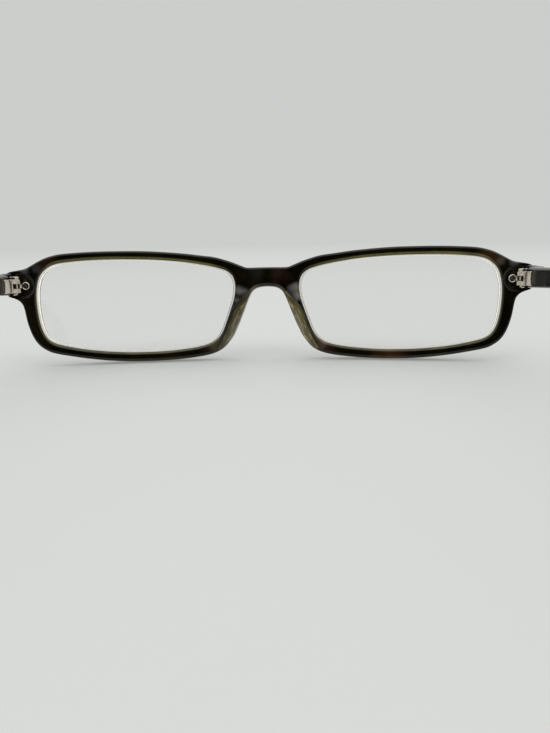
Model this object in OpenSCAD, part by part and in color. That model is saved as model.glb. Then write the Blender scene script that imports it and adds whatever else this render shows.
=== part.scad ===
// Rectangular acetate eyeglasses with sprung hinges, standing on the rims and the temple tips.
// Millimetres. X across the face (wearer's left is +X), the front faces -Y, Z up.

/* [Front] */
// Distance between the two lens openings at the nose
bridge_gap = 17.6; // [16:0.2:20]
// Width of one lens opening
lens_w = 52; // [50:0.5:55]
// Height of one lens opening
lens_h = 24.9; // [24:0.1:27]
// Thickness of the acetate, front to back
front_t = 3.8; // [3.6:0.1:4.2]
// Radius that the front is curved to, seen from above
front_curve_r = 300; // [280:10:360]
// Backward tilt of the front's foot, in degrees
front_lean = 10; // [9:0.5:11]

/* [Lenses] */
// Thickness of a lens
lens_t = 1.5; // [1.2:0.1:1.6]
// How far the groove is cut into the rim
groove_depth = 0.6; // [0.4:0.05:0.7]
// Width of the groove
groove_w = 0.9; // [0.8:0.05:1]

/* [Nose pads] */
// How far a nose pad stands out behind the front
pad_stand = 4.4; // [3:0.1:5]

/* [Hinge] */
// Radius of the knuckles
knuckle_r = 1.2; // [1.1:0.05:1.3]
// Height of the middle knuckle
knuckle_h = 1.1; // [1:0.05:1.2]
// Radius of the hinge screw's shank
screw_r = 0.6; // [0.5:0.02:0.65]
// Radius of the hinge screw's head
screw_head_r = 1.05; // [0.9:0.05:1.1]
// Height of the hinge screw's head
screw_head_h = 0.7; // [0.5:0.05:0.8]
// How far the screw's tip stands out below the knuckles
screw_tip = 0.6; // [0.4:0.05:0.7]
// Radius of the milled recess in the endpiece
recess_r = 2.6; // [2.5:0.05:2.7]
// Depth of that recess
recess_depth = 1.1; // [0.9:0.05:1.2]
// Thickness of the hinge leaf's round base
leaf_t = 0.5; // [0.4:0.05:0.6]
// Radius of that base
leaf_r = 2.2; // [2.1:0.05:2.3]

/* [Spring housing] */
// Length of the block seen in the temple's inner face
block_l = 5.3; // [5:0.1:5.6]
// Length of the round tail behind it, inside the acetate
tail_l = 8; // [7.8:0.1:8.6]
// Radius of that tail
tail_r = 1.1; // [1.08:0.01:1.14]
// Radius of the hollow that holds the spring
hollow_r = 0.86; // [0.84:0.01:0.9]
// Radius of the fork's rod
rod_r = 0.45; // [0.42:0.01:0.48]
// Radius of the spring's wire
wire_r = 0.12; // [0.1:0.01:0.13]
// How far the fork pulls out of the housing
flex_travel = 0.82; // [0.8:0.01:0.84]

/* [Temples] */
// Upward slope of an open temple, in degrees
temple_rise = 4.5; // [4:0.5:5]
// Length from the knuckles to the bend over the ear
temple_straight = 77; // [74:1:80]
// Bend over the ear, in degrees
ear_bend = 36; // [34:1:38]
// Radius of that bend
ear_bend_r = 28; // [24:1:34]
// Inward tilt of the bend, in degrees
ear_tilt = 6; // [4:1:10]
// Thickness of the temple at the hinge
temple_t = 4.35; // [4.2:0.05:4.6]
// Thickness of the temple at its tip
tip_t = 3; // [2.6:0.1:3.4]
// Radius of the wire core
core_r = 0.6; // [0.5:0.05:0.7]
// Radius that the tip is rounded to, along its length
tip_r = 2.6; // [2.2:0.1:3]
// Flat worn on the rims and the tips where they stand
foot_flat = 0.06; // [0.04:0.01:0.08]

/* [Fits] */
// Radial clearance of the turning and sliding fits
run_gap = 0.04; // [0.03:0.01:0.06]
// Gap between faces that move past each other
face_gap = 0.05; // [0.04:0.01:0.08]
// Gap left between glued or seated pieces
seat_gap = 0.02; // [0.01:0.01:0.03]

/* [Hidden] */
$fn = 48;
eps = 0.5;

// Places on the outline of the lens opening, from the nose upwards and round, measured from the
// middle of the bridge and from the foot of the rim.
opening_places = [
    [8.8, 19.3], [8.95, 21.3], [9.6, 22.9], [11.2, 24.25], [14.2, 25.22], [18.1, 26],
    [24, 26.85], [31, 27.35], [39.5, 27.5], [47.5, 27.25], [53.5, 26.65], [56.6, 25.95],
    [58.6, 24.65], [60, 22.7], [60.7, 19.8], [60.85, 16.5], [60.5, 12.5], [59.85, 9.3],
    [58.8, 7], [57.2, 5.6], [54.4, 4.65], [48.5, 3.5], [41.5, 2.8], [35, 2.6], [28, 2.8],
    [21.5, 3.45], [17, 4.35], [14.5, 5.55], [13, 6.9], [12.1, 8.5], [11.1, 11.1],
    [10.1, 13.9], [9.2, 16.7]];

// Places on the top edge of the front, from the middle of the bridge out to the endpiece's tip.
top_places = [
    [0, 25.1], [2.5, 25.08], [4.6, 25.05], [5.8, 25.15], [7.5, 25.8], [10.2, 26.85],
    [14.2, 28], [18, 28.5], [23, 29.1], [29, 29.55], [34, 29.75], [39, 29.75], [44, 29.65],
    [49, 29.4], [54, 28.95], [56.5, 28.45], [58.5, 27.75], [60.3, 26.8], [61.9, 25.8],
    [63.4, 24.95], [65, 24.5], [66.5, 24.15], [67.5, 23.7], [67.9, 23]];

// Places on the lower edge, from the endpiece back round the rim and up the nose to the bridge.
foot_places = [
    [67.9, 18.2], [67.4, 17.6], [66, 17.15], [65, 16.6], [64.2, 15.6], [63.8, 14.3], [63.3, 11.3],
    [62.9, 9.6], [62.3, 7.8], [61.5, 6.1], [60.3, 4.55], [58.6, 3.3], [56.8, 2.55], [53.5, 1.85],
    [48.5, 1], [43, 0.35], [38, 0.05], [33, 0], [28, 0.15], [23, 0.5], [18, 1.15], [15, 1.85],
    [13, 2.75], [11.6, 3.85], [10.4, 5.3], [9.35, 6.85], [8.55, 8.5], [7.8, 10.1], [7.1, 11.8],
    [6.45, 13.4], [5.85, 15], [5.2, 16.6], [4.45, 18.2], [3.5, 19.2], [2.1, 19.8], [0, 20]];

// Places along a nose pad from the bridge down: its nose edge, its crest beside the lens.
pad_nose_places = [
    [4.45, 18.2], [5.2, 16.6], [5.85, 15], [6.45, 13.4], [7.1, 11.8], [7.8, 10.1], [8.55, 8.5],
    [9.35, 6.85], [10.4, 5.3], [11.6, 3.85], [13, 2.75]];
pad_crest_places = [
    [5.35, 18.6], [6.65, 17.2], [7.9, 15.8], [8.95, 14.3], [9.75, 12.6], [10.4, 10.8],
    [11.05, 9.1], [11.75, 7.4], [12.55, 5.8], [13.3, 4.4], [13.9, 3.1]];
pad_stand_shares = [0.1, 0.34, 0.58, 0.78, 0.92, 1, 0.98, 0.88, 0.7, 0.45, 0.16];

drawn_half_gap = 8.8;
drawn_lens_w = 52;
drawn_lens_h = 24.9;
outline_steps = 3;

half_gap = bridge_gap / 2;
gap_stretch = half_gap / drawn_half_gap;
wide_stretch = lens_w / drawn_lens_w;
high_stretch = lens_h / drawn_lens_h;

// One place moved with the bridge, the lens width and the lens height.
function placed(p) = [
    p[0] <= drawn_half_gap ? p[0] * gap_stretch : half_gap + (p[0] - drawn_half_gap) * wide_stretch,
    p[1] * high_stretch];

function blend(a, b, c, d, t) =
    (2 * b + (c - a) * t + (2 * a - 5 * b + 4 * c - d) * t * t + (3 * b - a - 3 * c + d) * t * t * t) / 2;

// A smooth closed curve through the places.
function closed_curve(p, n) = [
    for (i = [0:len(p) - 1])
    for (k = [0:n - 1])
    blend(p[(i + len(p) - 1) % len(p)], p[i], p[(i + 1) % len(p)], p[(i + 2) % len(p)], k / n)];

// A smooth open curve through the places, ends included.
function open_curve(p, n) = concat([
    for (i = [0:len(p) - 2])
    for (k = [0:n - 1])
    blend(p[max(i - 1, 0)], p[i], p[i + 1], p[min(i + 2, len(p) - 1)], k / n)], [p[len(p) - 1]]);

function unit(v) = v / norm(v);

// The closed curve moved outwards by d; it runs clockwise.
function grown(p, d) = [
    for (i = [0:len(p) - 1])
    let (v = unit(p[(i + 1) % len(p)] - p[(i + len(p) - 1) % len(p)]))
    p[i] + d * [-v[1], v[0]]];

function flipped(p) = [for (i = [len(p) - 1:-1:0]) [-p[i][0], p[i][1]]];

opening = closed_curve([for (p = opening_places) placed(p)], outline_steps);
half_edge = concat(
    open_curve([for (p = top_places) placed(p)], outline_steps),
    open_curve([for (p = foot_places) placed(p)], outline_steps));
inner_edge = [for (i = [1:len(half_edge) - 2]) half_edge[i]];
front_edge = concat([half_edge[0]], inner_edge, [half_edge[len(half_edge) - 1]], flipped(inner_edge));

end_place = [max([for (p = top_places) p[0]]), max([for (p = top_places) p[1]])];
front_half_w = placed(end_place)[0];
front_top = placed(end_place)[1];

// Depth of the front's back face at a distance from the middle.
function back_at(x) = front_curve_r - sqrt(front_curve_r * front_curve_r - x * x);

hinge_inset = 3.8;
hinge_up = 20.1;
hinge_back = 3.2;
butt_step = 0.1;
axis_x = front_half_w - hinge_inset;
axis_y = back_at(axis_x) + hinge_back + butt_step;
axis_z = hinge_up * high_stretch;

// The front's foot and the hinge axis, in the standing frame.
foot_place = [35, 0];
foot_x = placed(foot_place)[0];
function face_at(x) = front_curve_r - sqrt(pow(front_curve_r + front_t, 2) - x * x);
stand_up = -face_at(foot_x) * sin(front_lean) - foot_flat;
hinge_y = axis_y * cos(front_lean) - axis_z * sin(front_lean);
hinge_z = axis_z * cos(front_lean) + axis_y * sin(front_lean) + stand_up;

// Length of the ear piece that brings the temple's tip down to the surface.
tip_half = 3;
tip_slope = ear_bend - temple_rise;
tip_low = norm([tip_r * sin(tip_slope), tip_half * cos(tip_slope)]);
tip_far = norm([tip_r * cos(tip_slope), tip_half * sin(tip_slope)]);
ear_straight = (hinge_z + temple_straight * sin(temple_rise)
    + ear_bend_r * (cos(tip_slope) - cos(temple_rise)) - tip_low + foot_flat) / sin(tip_slope);
ear_l = ear_straight + tip_r;

// The middle of the whole, front to back, is put over the origin.
crown_place = [13, 27.7];
crown = placed(crown_place);
nearest_y = face_at(crown[0]) * cos(front_lean) - crown[1] * sin(front_lean);
farthest_y = hinge_y + temple_straight * cos(temple_rise)
    + ear_bend_r * (sin(tip_slope) + sin(temple_rise)) + ear_straight * cos(tip_slope) + tip_far;
stand_back = -(nearest_y + farthest_y) / 2;

// Places in the hinge's own frame: X outwards, Y back along the temple, Z along the screw.
arm_h = (3 * knuckle_h + 2 * face_gap) / 3 - face_gap / 2;
half_knuckle = knuckle_h / 2;
arm_low = half_knuckle + face_gap;
stack_half = arm_low + arm_h;
screw_bore_r = screw_r + run_gap;
root_front = knuckle_r + 0.25 * knuckle_r;
root_back = 3.3;
block_front = 3.7;
block_in = -0.85;
block_out = 2.05;
rod_x = 0.9;
fork_in = -0.7;
fork_out = 1.5;
lug_in = 0.15;
lug_out = 1;
notch_x = 1.8;
leaf_x = -0.1;
eyelet_x = -1;
eyelet_r = 1.05;
eyelet_h = 0.3;
eyelet_shank_r = 0.5;
eyelet_hole_r = 0.28;
claw_x = 1;
claw_r = 0.7;
claw_l = 1.5;
slot_w = 0.25;
slot_deep = 0.3;
temple_in = -0.6;
temple_out = temple_in + temple_t;

front_wall = 1;
plug_l = 1.5;
collar_l = 0.8;
collar_gap = 0.07;
collar_room = 2.9;
rod_proud = 0.2;
spring_room = 0.1;
coil_gap = 0.08;
block_back = block_front + block_l;
tail_back = block_back + tail_l;
hollow_front = block_front + front_wall;
collar_r = hollow_r - collar_gap;
collar_front = tail_back - plug_l - collar_room;
rod_back = collar_front + collar_l + rod_proud;
spring_front = hollow_front + face_gap;
spring_back = collar_front - flex_travel - spring_room;
spring_r = hollow_r - wire_r - coil_gap;
spring_turns = 8;
ring_steps = 14;
wire_steps = 6;

bend_y = temple_straight;
bend_len = ear_bend_r * ear_bend * PI / 180;
core_short = 9;
core_ear_l = ear_l - core_short;

module other_side() {
    mirror([1, 0, 0])
        children();
}

// The front's own plane, leaned back at the foot and standing on the surface.
module in_front() {
    translate([0, stand_back, stand_up])
        rotate([front_lean, 0, 0])
            children();
}

// The left hinge's own frame.
module at_hinge() {
    translate([axis_x, hinge_y + stand_back, hinge_z])
        rotate([temple_rise, 0, 0])
            children();
}

// A flat outline in the front's plane given depth from y0 back to y1.
module slab(outline, y0, y1) {
    translate([0, y1, 0])
        rotate([90, 0, 0])
            linear_extrude(height = y1 - y0)
                polygon(outline);
}

// The curved sheet between two depths at the middle of the front.
module sheet(y0, y1) {
    translate([0, front_curve_r, -front_top])
        difference() {
            cylinder(r = front_curve_r - y0, h = 3 * front_top, $fn = 200);
            cylinder(r = front_curve_r - y1, h = 3 * front_top, $fn = 200);
        }
}

sheet_front = -front_t - eps;
sheet_back = back_at(front_half_w) + eps;
lens_mid = -front_t / 2;

module rim_groove() {
    intersection() {
        sheet(lens_mid - groove_w / 2, lens_mid + groove_w / 2);
        slab(grown(opening, groove_depth), sheet_front, sheet_back);
    }
}

// What lies below the surface that the glasses stand on.
module below_ground() {
    translate([-axis_x * 2, -axis_x * 2, -front_top])
        cube([axis_x * 4, axis_x * 4, front_top]);
}

// The milled seat for one hinge: flat butt, round recess, holes for the claw and the eyelet.
module seat_cut() {
    translate([leaf_x - recess_r, -hinge_back, -front_top])
        cube([front_half_w, front_top, 2 * front_top]);
    translate([leaf_x, eps, 0])
        rotate([90, 0, 0])
            cylinder(r = recess_r, h = hinge_back + recess_depth + eps);
    translate([claw_x, 0, 0])
        rotate([90, 0, 0])
            cylinder(r = claw_r, h = hinge_back + recess_depth + claw_l);
    translate([eyelet_x, 0, 0])
        rotate([90, 0, 0])
            cylinder(r = eyelet_shank_r, h = hinge_back + recess_depth + claw_l);
}

module front_frame() {
    color("darkolivegreen")
        difference() {
            in_front()
                difference() {
                    intersection() {
                        slab(front_edge, sheet_front, sheet_back);
                        sheet(-front_t, 0);
                    }
                    slab(opening, sheet_front - eps, sheet_back + eps);
                    other_side()
                        slab(opening, sheet_front - eps, sheet_back + eps);
                    rim_groove();
                    other_side()
                        rim_groove();
                }
            at_hinge()
                seat_cut();
            other_side()
                at_hinge()
                    seat_cut();
            below_ground();
        }
}

module lens() {
    color("lightblue")
        in_front() {
            intersection() {
                sheet(lens_mid - lens_t / 2, lens_mid + lens_t / 2);
                slab(grown(opening, -seat_gap), sheet_front, sheet_back);
            }
            intersection() {
                sheet(lens_mid - groove_w / 2 + face_gap, lens_mid + groove_w / 2 - face_gap);
                slab(grown(opening, groove_depth - face_gap), sheet_front, sheet_back);
            }
        }
}

// One slice across a nose pad: from its nose edge over the crest to the lens side.
function pad_slice(n, c, h) =
    let (y0 = back_at(n[0]) + seat_gap, y1 = back_at(c[0]) + seat_gap)
    [[n[0], y0, n[1]],
     [n[0] * 0.98 + c[0] * 0.02, y0 + h * 0.14, n[1] * 0.98 + c[1] * 0.02],
     [n[0] * 0.68 + c[0] * 0.32, y0 + h * 0.52, n[1] * 0.68 + c[1] * 0.32],
     [n[0] * 0.4 + c[0] * 0.6, y0 + h * 0.8, n[1] * 0.4 + c[1] * 0.6],
     [n[0] * 0.2 + c[0] * 0.8, y1 + h * 0.95, n[1] * 0.2 + c[1] * 0.8],
     [n[0] * 0.1 + c[0] * 0.9, y1 + h, n[1] * 0.1 + c[1] * 0.9],
     [n[0] * 0.03 + c[0] * 0.97, y1 + h * 0.96, n[1] * 0.03 + c[1] * 0.97],
     [c[0], y1 + h * 0.84, c[1]],
     [c[0], y1, c[1]]];

pad_nose = open_curve([for (p = pad_nose_places) placed(p)], 2);
pad_crest = open_curve([for (p = pad_crest_places) placed(p)], 2);
pad_stands = open_curve(pad_stand_shares, 2);
pad_slices = [for (i = [0:len(pad_nose) - 1]) pad_slice(pad_nose[i], pad_crest[i], pad_stand * pad_stands[i])];
pad_n = 9;
pad_points = [for (s = pad_slices) for (p = s) p];
pad_faces = concat(
    [[for (j = [0:pad_n - 1]) j]],
    [for (i = [0:len(pad_slices) - 2])
        for (j = [0:pad_n - 1])
        let (k = (j + 1) % pad_n)
        [i * pad_n + j, (i + 1) * pad_n + j, (i + 1) * pad_n + k]],
    [for (i = [0:len(pad_slices) - 2])
        for (j = [0:pad_n - 1])
        let (k = (j + 1) % pad_n)
        [i * pad_n + j, (i + 1) * pad_n + k, i * pad_n + k]],
    [[for (j = [pad_n - 1:-1:0]) (len(pad_slices) - 1) * pad_n + j]]);

module nose_pad() {
    color("tan")
        in_front()
            polyhedron(points = pad_points, faces = pad_faces);
}

module hinge_leaf() {
    color("silver")
        at_hinge()
            difference() {
                union() {
                    translate([leaf_x, -hinge_back - recess_depth + leaf_t, 0])
                        rotate([90, 0, 0])
                            cylinder(r = leaf_r, h = leaf_t - seat_gap);
                    translate([claw_x, -hinge_back - recess_depth + leaf_t / 2, 0])
                        rotate([90, 0, 0])
                            cylinder(r = claw_r - seat_gap, h = leaf_t / 2 + claw_l - seat_gap);
                    translate([lug_in, -hinge_back - recess_depth + leaf_t / 2, -half_knuckle])
                        cube([lug_out - lug_in, hinge_back + recess_depth - leaf_t / 2, knuckle_h]);
                    translate([0, 0, -half_knuckle])
                        cylinder(r = knuckle_r, h = knuckle_h);
                }
                cylinder(r = screw_bore_r, h = 2 * knuckle_h, center = true);
                translate([eyelet_x, 0, 0])
                    rotate([90, 0, 0])
                        cylinder(r = eyelet_shank_r, h = 2 * hinge_back);
            }
}

module leaf_eyelet() {
    color("gainsboro")
        at_hinge()
            translate([eyelet_x, -hinge_back - recess_depth + leaf_t, 0])
                difference() {
                    union() {
                        translate([0, eyelet_h, 0])
                            rotate([90, 0, 0])
                                cylinder(r = eyelet_r, h = eyelet_h - seat_gap);
                        rotate([90, 0, 0])
                            translate([0, 0, -eyelet_h / 2])
                                cylinder(r = eyelet_shank_r - seat_gap, h = claw_l + leaf_t);
                    }
                    translate([0, eyelet_h + eps, 0])
                        rotate([90, 0, 0])
                            cylinder(r = eyelet_hole_r, h = claw_l + eps);
                }
}

module hinge_screw() {
    color("lightgray")
        at_hinge()
            difference() {
                union() {
                    translate([0, 0, -stack_half - screw_tip])
                        cylinder(r = screw_r, h = 2 * stack_half + screw_tip + screw_head_h / 2);
                    translate([0, 0, stack_half + face_gap])
                        cylinder(r = screw_head_r, h = screw_head_h);
                }
                translate([-2 * screw_head_r, -slot_w / 2, stack_half + face_gap + screw_head_h - slot_deep])
                    cube([4 * screw_head_r, slot_w, screw_head_h]);
            }
}

// One outer knuckle with its arm.
module fork_arm() {
    translate([0, 0, arm_low]) {
        cylinder(r = knuckle_r, h = arm_h);
        translate([fork_in, 0, 0])
            cube([fork_out - fork_in - 0.3 * knuckle_r, root_back - 0.3 * knuckle_r, arm_h]);
    }
}

module hinge_fork() {
    color("silver")
        at_hinge()
            difference() {
                union() {
                    fork_arm();
                    mirror([0, 0, 1])
                        fork_arm();
                    translate([fork_in, root_front, -stack_half])
                        cube([fork_out - fork_in, root_back - root_front, 2 * stack_half]);
                    translate([rod_x, root_front + 0.5 * (root_back - root_front), 0])
                        rotate([-90, 0, 0])
                            cylinder(r = rod_r, h = rod_back - root_front - 0.5 * (root_back - root_front));
                }
                cylinder(r = screw_bore_r, h = 3 * stack_half, center = true);
            }
}

module spring_collar() {
    color("gainsboro")
        at_hinge()
            translate([rod_x, collar_front, 0])
                rotate([-90, 0, 0])
                    difference() {
                        cylinder(r = collar_r, h = collar_l);
                        translate([0, 0, -eps])
                            cylinder(r = rod_r + seat_gap / 4, h = collar_l + 2 * eps);
                    }
}

// A coil swept round the rod.
coil_n = spring_turns * ring_steps;
coil_l = spring_back - spring_front - 2 * wire_r;
coil_points = [
    for (i = [0:coil_n])
    let (a = 360 * i / ring_steps, y = spring_front + wire_r + coil_l * i / coil_n)
    for (j = [0:wire_steps - 1])
    let (b = 360 * j / wire_steps, r = spring_r + wire_r * cos(b))
    [rod_x + r * cos(a), y + wire_r * sin(b), r * sin(a)]];
coil_faces = concat(
    [[for (j = [0:wire_steps - 1]) j]],
    [for (i = [0:coil_n - 1])
        for (j = [0:wire_steps - 1])
        let (k = (j + 1) % wire_steps)
        [i * wire_steps + j, (i + 1) * wire_steps + j, (i + 1) * wire_steps + k]],
    [for (i = [0:coil_n - 1])
        for (j = [0:wire_steps - 1])
        let (k = (j + 1) % wire_steps)
        [i * wire_steps + j, (i + 1) * wire_steps + k, i * wire_steps + k]],
    [[for (j = [wire_steps - 1:-1:0]) coil_n * wire_steps + j]]);

module flex_spring() {
    color("gray")
        at_hinge()
            polyhedron(points = coil_points, faces = coil_faces);
}

module spring_housing() {
    color("silver")
        at_hinge()
            difference() {
                union() {
                    translate([block_in, block_front, -stack_half])
                        cube([block_out - block_in, block_l, 2 * stack_half]);
                    translate([rod_x, block_back - eps, 0])
                        rotate([-90, 0, 0])
                            cylinder(r = tail_r, h = tail_l + eps);
                }
                translate([rod_x, block_front - eps, 0])
                    rotate([-90, 0, 0])
                        cylinder(r = rod_r + run_gap, h = hollow_front - block_front + 2 * eps);
                translate([rod_x, hollow_front, 0])
                    rotate([-90, 0, 0])
                        cylinder(r = hollow_r, h = tail_back - hollow_front + eps);
            }
}

// Centre line of the temple in the plane of its bend: distance back, drop, and direction.
side_places = [
    [-3.18, 3.3, -2.3], [-1, 3.2, -2.35], [2, 2.95, -2.3], [5, 2.7, -2.2], [10, 2.5, -2.12],
    [18, 2.42, -2.05], [30, 2.35, -2], [45, 2.35, -2], [60, 2.4, -2.05], [72, 2.48, -2.15]];
ear_half_places = [2.35, 2.4, 2.46, 2.52, 2.6, 2.7, 2.8, 2.9, 2.98, 3.02, tip_half];
bend_steps = 5;
ear_steps = 5;

function bend_at(i) = ear_bend * i / bend_steps;
function ear_line(i) = i <= bend_steps
    ? [bend_y + ear_bend_r * sin(bend_at(i)), -ear_bend_r * (1 - cos(bend_at(i)))]
    : [bend_y + ear_bend_r * sin(ear_bend), -ear_bend_r * (1 - cos(ear_bend))]
        + ear_straight * (i - bend_steps) / ear_steps * [cos(ear_bend), -sin(ear_bend)];
function ear_turn(i) = i <= bend_steps ? bend_at(i) : ear_bend;
function ear_side(i, up) = ear_line(i)
    + up * ear_half_places[i] * [sin(ear_turn(i)), cos(ear_turn(i))];
last = bend_steps + ear_steps;
tip_turns = [75, 60, 45, 30, 15, 0, -15, -30, -45, -60, -75];
function tip_at(a) = ear_line(last)
    + tip_r * cos(a) * [cos(ear_bend), -sin(ear_bend)]
    + ear_half_places[last] * sin(a) * [sin(ear_bend), cos(ear_bend)];
side_top = open_curve(concat([for (p = side_places) [p[0], p[1]]], [for (i = [0:last]) ear_side(i, 1)]), 3);
side_low = open_curve(concat([for (p = side_places) [p[0], p[2]]], [for (i = [0:last]) ear_side(i, -1)]), 3);
side_outline = concat(side_top, [for (a = tip_turns) tip_at(a)], [for (i = [len(side_low) - 1:-1:0]) side_low[i]]);

tip_y = ear_line(last)[0] + ear_half_places[last];
function drop_at(y) = y <= bend_y ? 0
    : y <= bend_y + ear_bend_r * sin(ear_bend)
        ? ear_bend_r - sqrt(ear_bend_r * ear_bend_r - pow(y - bend_y, 2))
        : ear_bend_r * (1 - cos(ear_bend)) + (y - bend_y - ear_bend_r * sin(ear_bend)) * tan(ear_bend);
plan_steps = 24;
plan_places = [-3.18, 2, 8, 16, 28, 44, 62, 72];
plan_lead = 2;
plan_past = 3;
plan_y = concat(plan_places,
    [for (i = [0:plan_steps]) bend_y - plan_lead + (tip_y + plan_past - bend_y) * i / plan_steps]);
thin_from = 4;
thin_len = 60;
thinned = 0.75;
mid_t = temple_t - thinned;
function thick_at(y) = y < thin_from ? temple_t
    : y < thin_from + thin_len ? temple_t - thinned * sin(90 * (y - thin_from) / thin_len)
    : mid_t - (mid_t - tip_t) * min(1, (y - thin_from - thin_len) / (tip_y - thin_from - thin_len));
plan_outline = concat(
    [for (y = plan_y) [temple_in - drop_at(y) * tan(ear_tilt), y]],
    [for (i = [len(plan_y) - 1:-1:0])
        [temple_in + thick_at(plan_y[i]) - drop_at(plan_y[i]) * tan(ear_tilt), plan_y[i]]]);

// The wire's path: straight, round the bend, straight along the ear piece, with a round
// knuckle at each end of the bend.
joint_short = 0.1;
joint_turn = joint_short / ear_bend_r * 180 / PI;
module core_path(r, front, ear_len) {
    translate([rod_x, front, 0])
        rotate([-90, 0, 0])
            cylinder(r = r, h = bend_y - joint_short - front);
    translate([rod_x, bend_y, 0])
        rotate([0, ear_tilt, 0]) {
            sphere(r = r + joint_short / 2);
            translate([0, 0, -ear_bend_r])
                rotate([0, 90, 0])
                    rotate([0, 0, 180 - ear_bend + joint_turn])
                        rotate_extrude(angle = ear_bend - 2 * joint_turn, $fn = 96)
                            translate([ear_bend_r, 0])
                                circle(r = r);
            translate([0, ear_bend_r * sin(ear_bend), -ear_bend_r * (1 - cos(ear_bend))]) {
                sphere(r = r + joint_short / 2);
                rotate([-90 - ear_bend, 0, 0])
                    translate([0, 0, joint_short])
                        cylinder(r = r, h = ear_len - joint_short);
            }
        }
}

module temple() {
    color("darkolivegreen")
        difference() {
            at_hinge()
                temple_body();
            below_ground();
        }
}

module temple_body() {
    difference() {
        intersection() {
            translate([-axis_x, 0, 0])
                rotate([90, 0, 90])
                    linear_extrude(height = 2 * axis_x)
                        polygon(side_outline);
            translate([0, 0, -2 * front_half_w])
                linear_extrude(height = 4 * front_half_w)
                    polygon(plan_outline);
        }
        translate([temple_in - 4 * temple_t, -2 * hinge_back, -3 * front_top])
            cube([4 * temple_t - temple_in + notch_x, 2 * hinge_back + block_front - seat_gap, 6 * front_top]);
        translate([temple_in - 2 * temple_t, block_front - eps, -stack_half - seat_gap])
            cube([2 * temple_t - temple_in + block_out + seat_gap,
                block_l + eps + seat_gap, 2 * (stack_half + seat_gap)]);
        translate([rod_x, block_front, 0])
            rotate([-90, 0, 0])
                cylinder(r = tail_r + seat_gap, h = tail_back + seat_gap - block_front);
        core_path(core_r + seat_gap, block_back, core_ear_l + seat_gap);
    }
}

module temple_core() {
    color("lightgray")
        at_hinge() {
            translate([rod_x, tail_back - plug_l, 0])
                rotate([-90, 0, 0])
                    cylinder(r = hollow_r - seat_gap / 4, h = plug_l);
            core_path(core_r, tail_back - plug_l / 2, core_ear_l);
        }
}

front_frame();
lens();  // lens_left
other_side() lens();  // lens_right
nose_pad();  // nose_pad_left
other_side() nose_pad();  // nose_pad_right
hinge_leaf();  // hinge_leaf_left
other_side() hinge_leaf();  // hinge_leaf_right
leaf_eyelet();  // leaf_eyelet_left
other_side() leaf_eyelet();  // leaf_eyelet_right
hinge_screw();  // hinge_screw_left
other_side() hinge_screw();  // hinge_screw_right
hinge_fork();  // hinge_fork_left
other_side() hinge_fork();  // hinge_fork_right
spring_collar();  // spring_collar_left
other_side() spring_collar();  // spring_collar_right
flex_spring();  // flex_spring_left
other_side() flex_spring();  // flex_spring_right
spring_housing();  // spring_housing_left
other_side() spring_housing();  // spring_housing_right
temple();  // temple_left
other_side() temple();  // temple_right
temple_core();  // temple_core_left
other_side() temple_core();  // temple_core_right
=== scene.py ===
# %% [markdown]
# # Rectangular acetate eyeglasses, seen from the wearer's side
# These are light plastic glasses: one thin front with two rims, a temple on each side and a small
# sprung hinge between them. They stand on a pale surface on the rims and the temple tips. The
# lesson builds each piece in millimetres, in the place it has on the glasses, and turns it into
# metres at the end, because sizes such as 0.75 are easier to read than 0.00075.

# %% Load the frame
import math
import bmesh
import bpy
from mathutils import Matrix, Vector
from mathutils.kdtree import KDTree


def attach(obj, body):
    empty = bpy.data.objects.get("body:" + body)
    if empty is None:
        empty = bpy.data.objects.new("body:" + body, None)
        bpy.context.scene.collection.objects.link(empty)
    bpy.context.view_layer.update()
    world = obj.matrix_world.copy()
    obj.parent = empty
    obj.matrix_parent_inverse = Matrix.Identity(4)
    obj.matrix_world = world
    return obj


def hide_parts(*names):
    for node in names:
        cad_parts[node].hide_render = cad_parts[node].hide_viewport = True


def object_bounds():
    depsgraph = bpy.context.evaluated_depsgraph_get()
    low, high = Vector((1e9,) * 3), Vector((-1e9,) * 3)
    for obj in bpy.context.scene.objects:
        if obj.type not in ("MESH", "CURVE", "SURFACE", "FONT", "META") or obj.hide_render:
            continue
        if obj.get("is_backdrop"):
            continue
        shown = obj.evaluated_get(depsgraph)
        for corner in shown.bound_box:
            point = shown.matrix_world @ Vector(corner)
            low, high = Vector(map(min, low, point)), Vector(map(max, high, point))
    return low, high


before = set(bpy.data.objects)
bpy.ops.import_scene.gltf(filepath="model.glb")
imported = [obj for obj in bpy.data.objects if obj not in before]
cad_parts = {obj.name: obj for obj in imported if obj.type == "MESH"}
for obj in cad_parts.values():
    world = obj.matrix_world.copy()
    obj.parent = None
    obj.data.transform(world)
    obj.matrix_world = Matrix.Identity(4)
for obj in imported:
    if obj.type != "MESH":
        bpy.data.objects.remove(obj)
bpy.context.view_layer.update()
MM = 0.001

# %% [markdown]
# ## Two places to work in
# The front is one curved sheet that leans back at the foot, and each hinge stands on its own
# tilted axis. Working straight in the room's axes would put sines in every line. Instead each has
# a small function that takes a place in the piece's own terms and gives it in the room's.

# %% Places on the front and at the hinge
FRONT_T = 3.8
CURVE_R = 300.0
LEAN = math.radians(10)
RISE = math.radians(4.5)
STAND_BACK = -64.42615
STAND_UP = 0.2486
HINGE = Vector((64.1, -57.84385, 21.81931))


def in_front(u, depth, v):
    """On the front: u to the wearer's left, depth 0 at the back face and -3.8 at the front, v up."""
    b = CURVE_R - math.sqrt((CURVE_R - depth) ** 2 - u * u)
    return Vector((u, b * math.cos(LEAN) - v * math.sin(LEAN) + STAND_BACK,
                   b * math.sin(LEAN) + v * math.cos(LEAN) + STAND_UP))


def at_hinge(x, y, z):
    """At the left hinge: x outwards, y back along the temple, z along the screw."""
    return HINGE + Vector((x, y * math.cos(RISE) - z * math.sin(RISE),
                           y * math.sin(RISE) + z * math.cos(RISE)))


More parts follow.
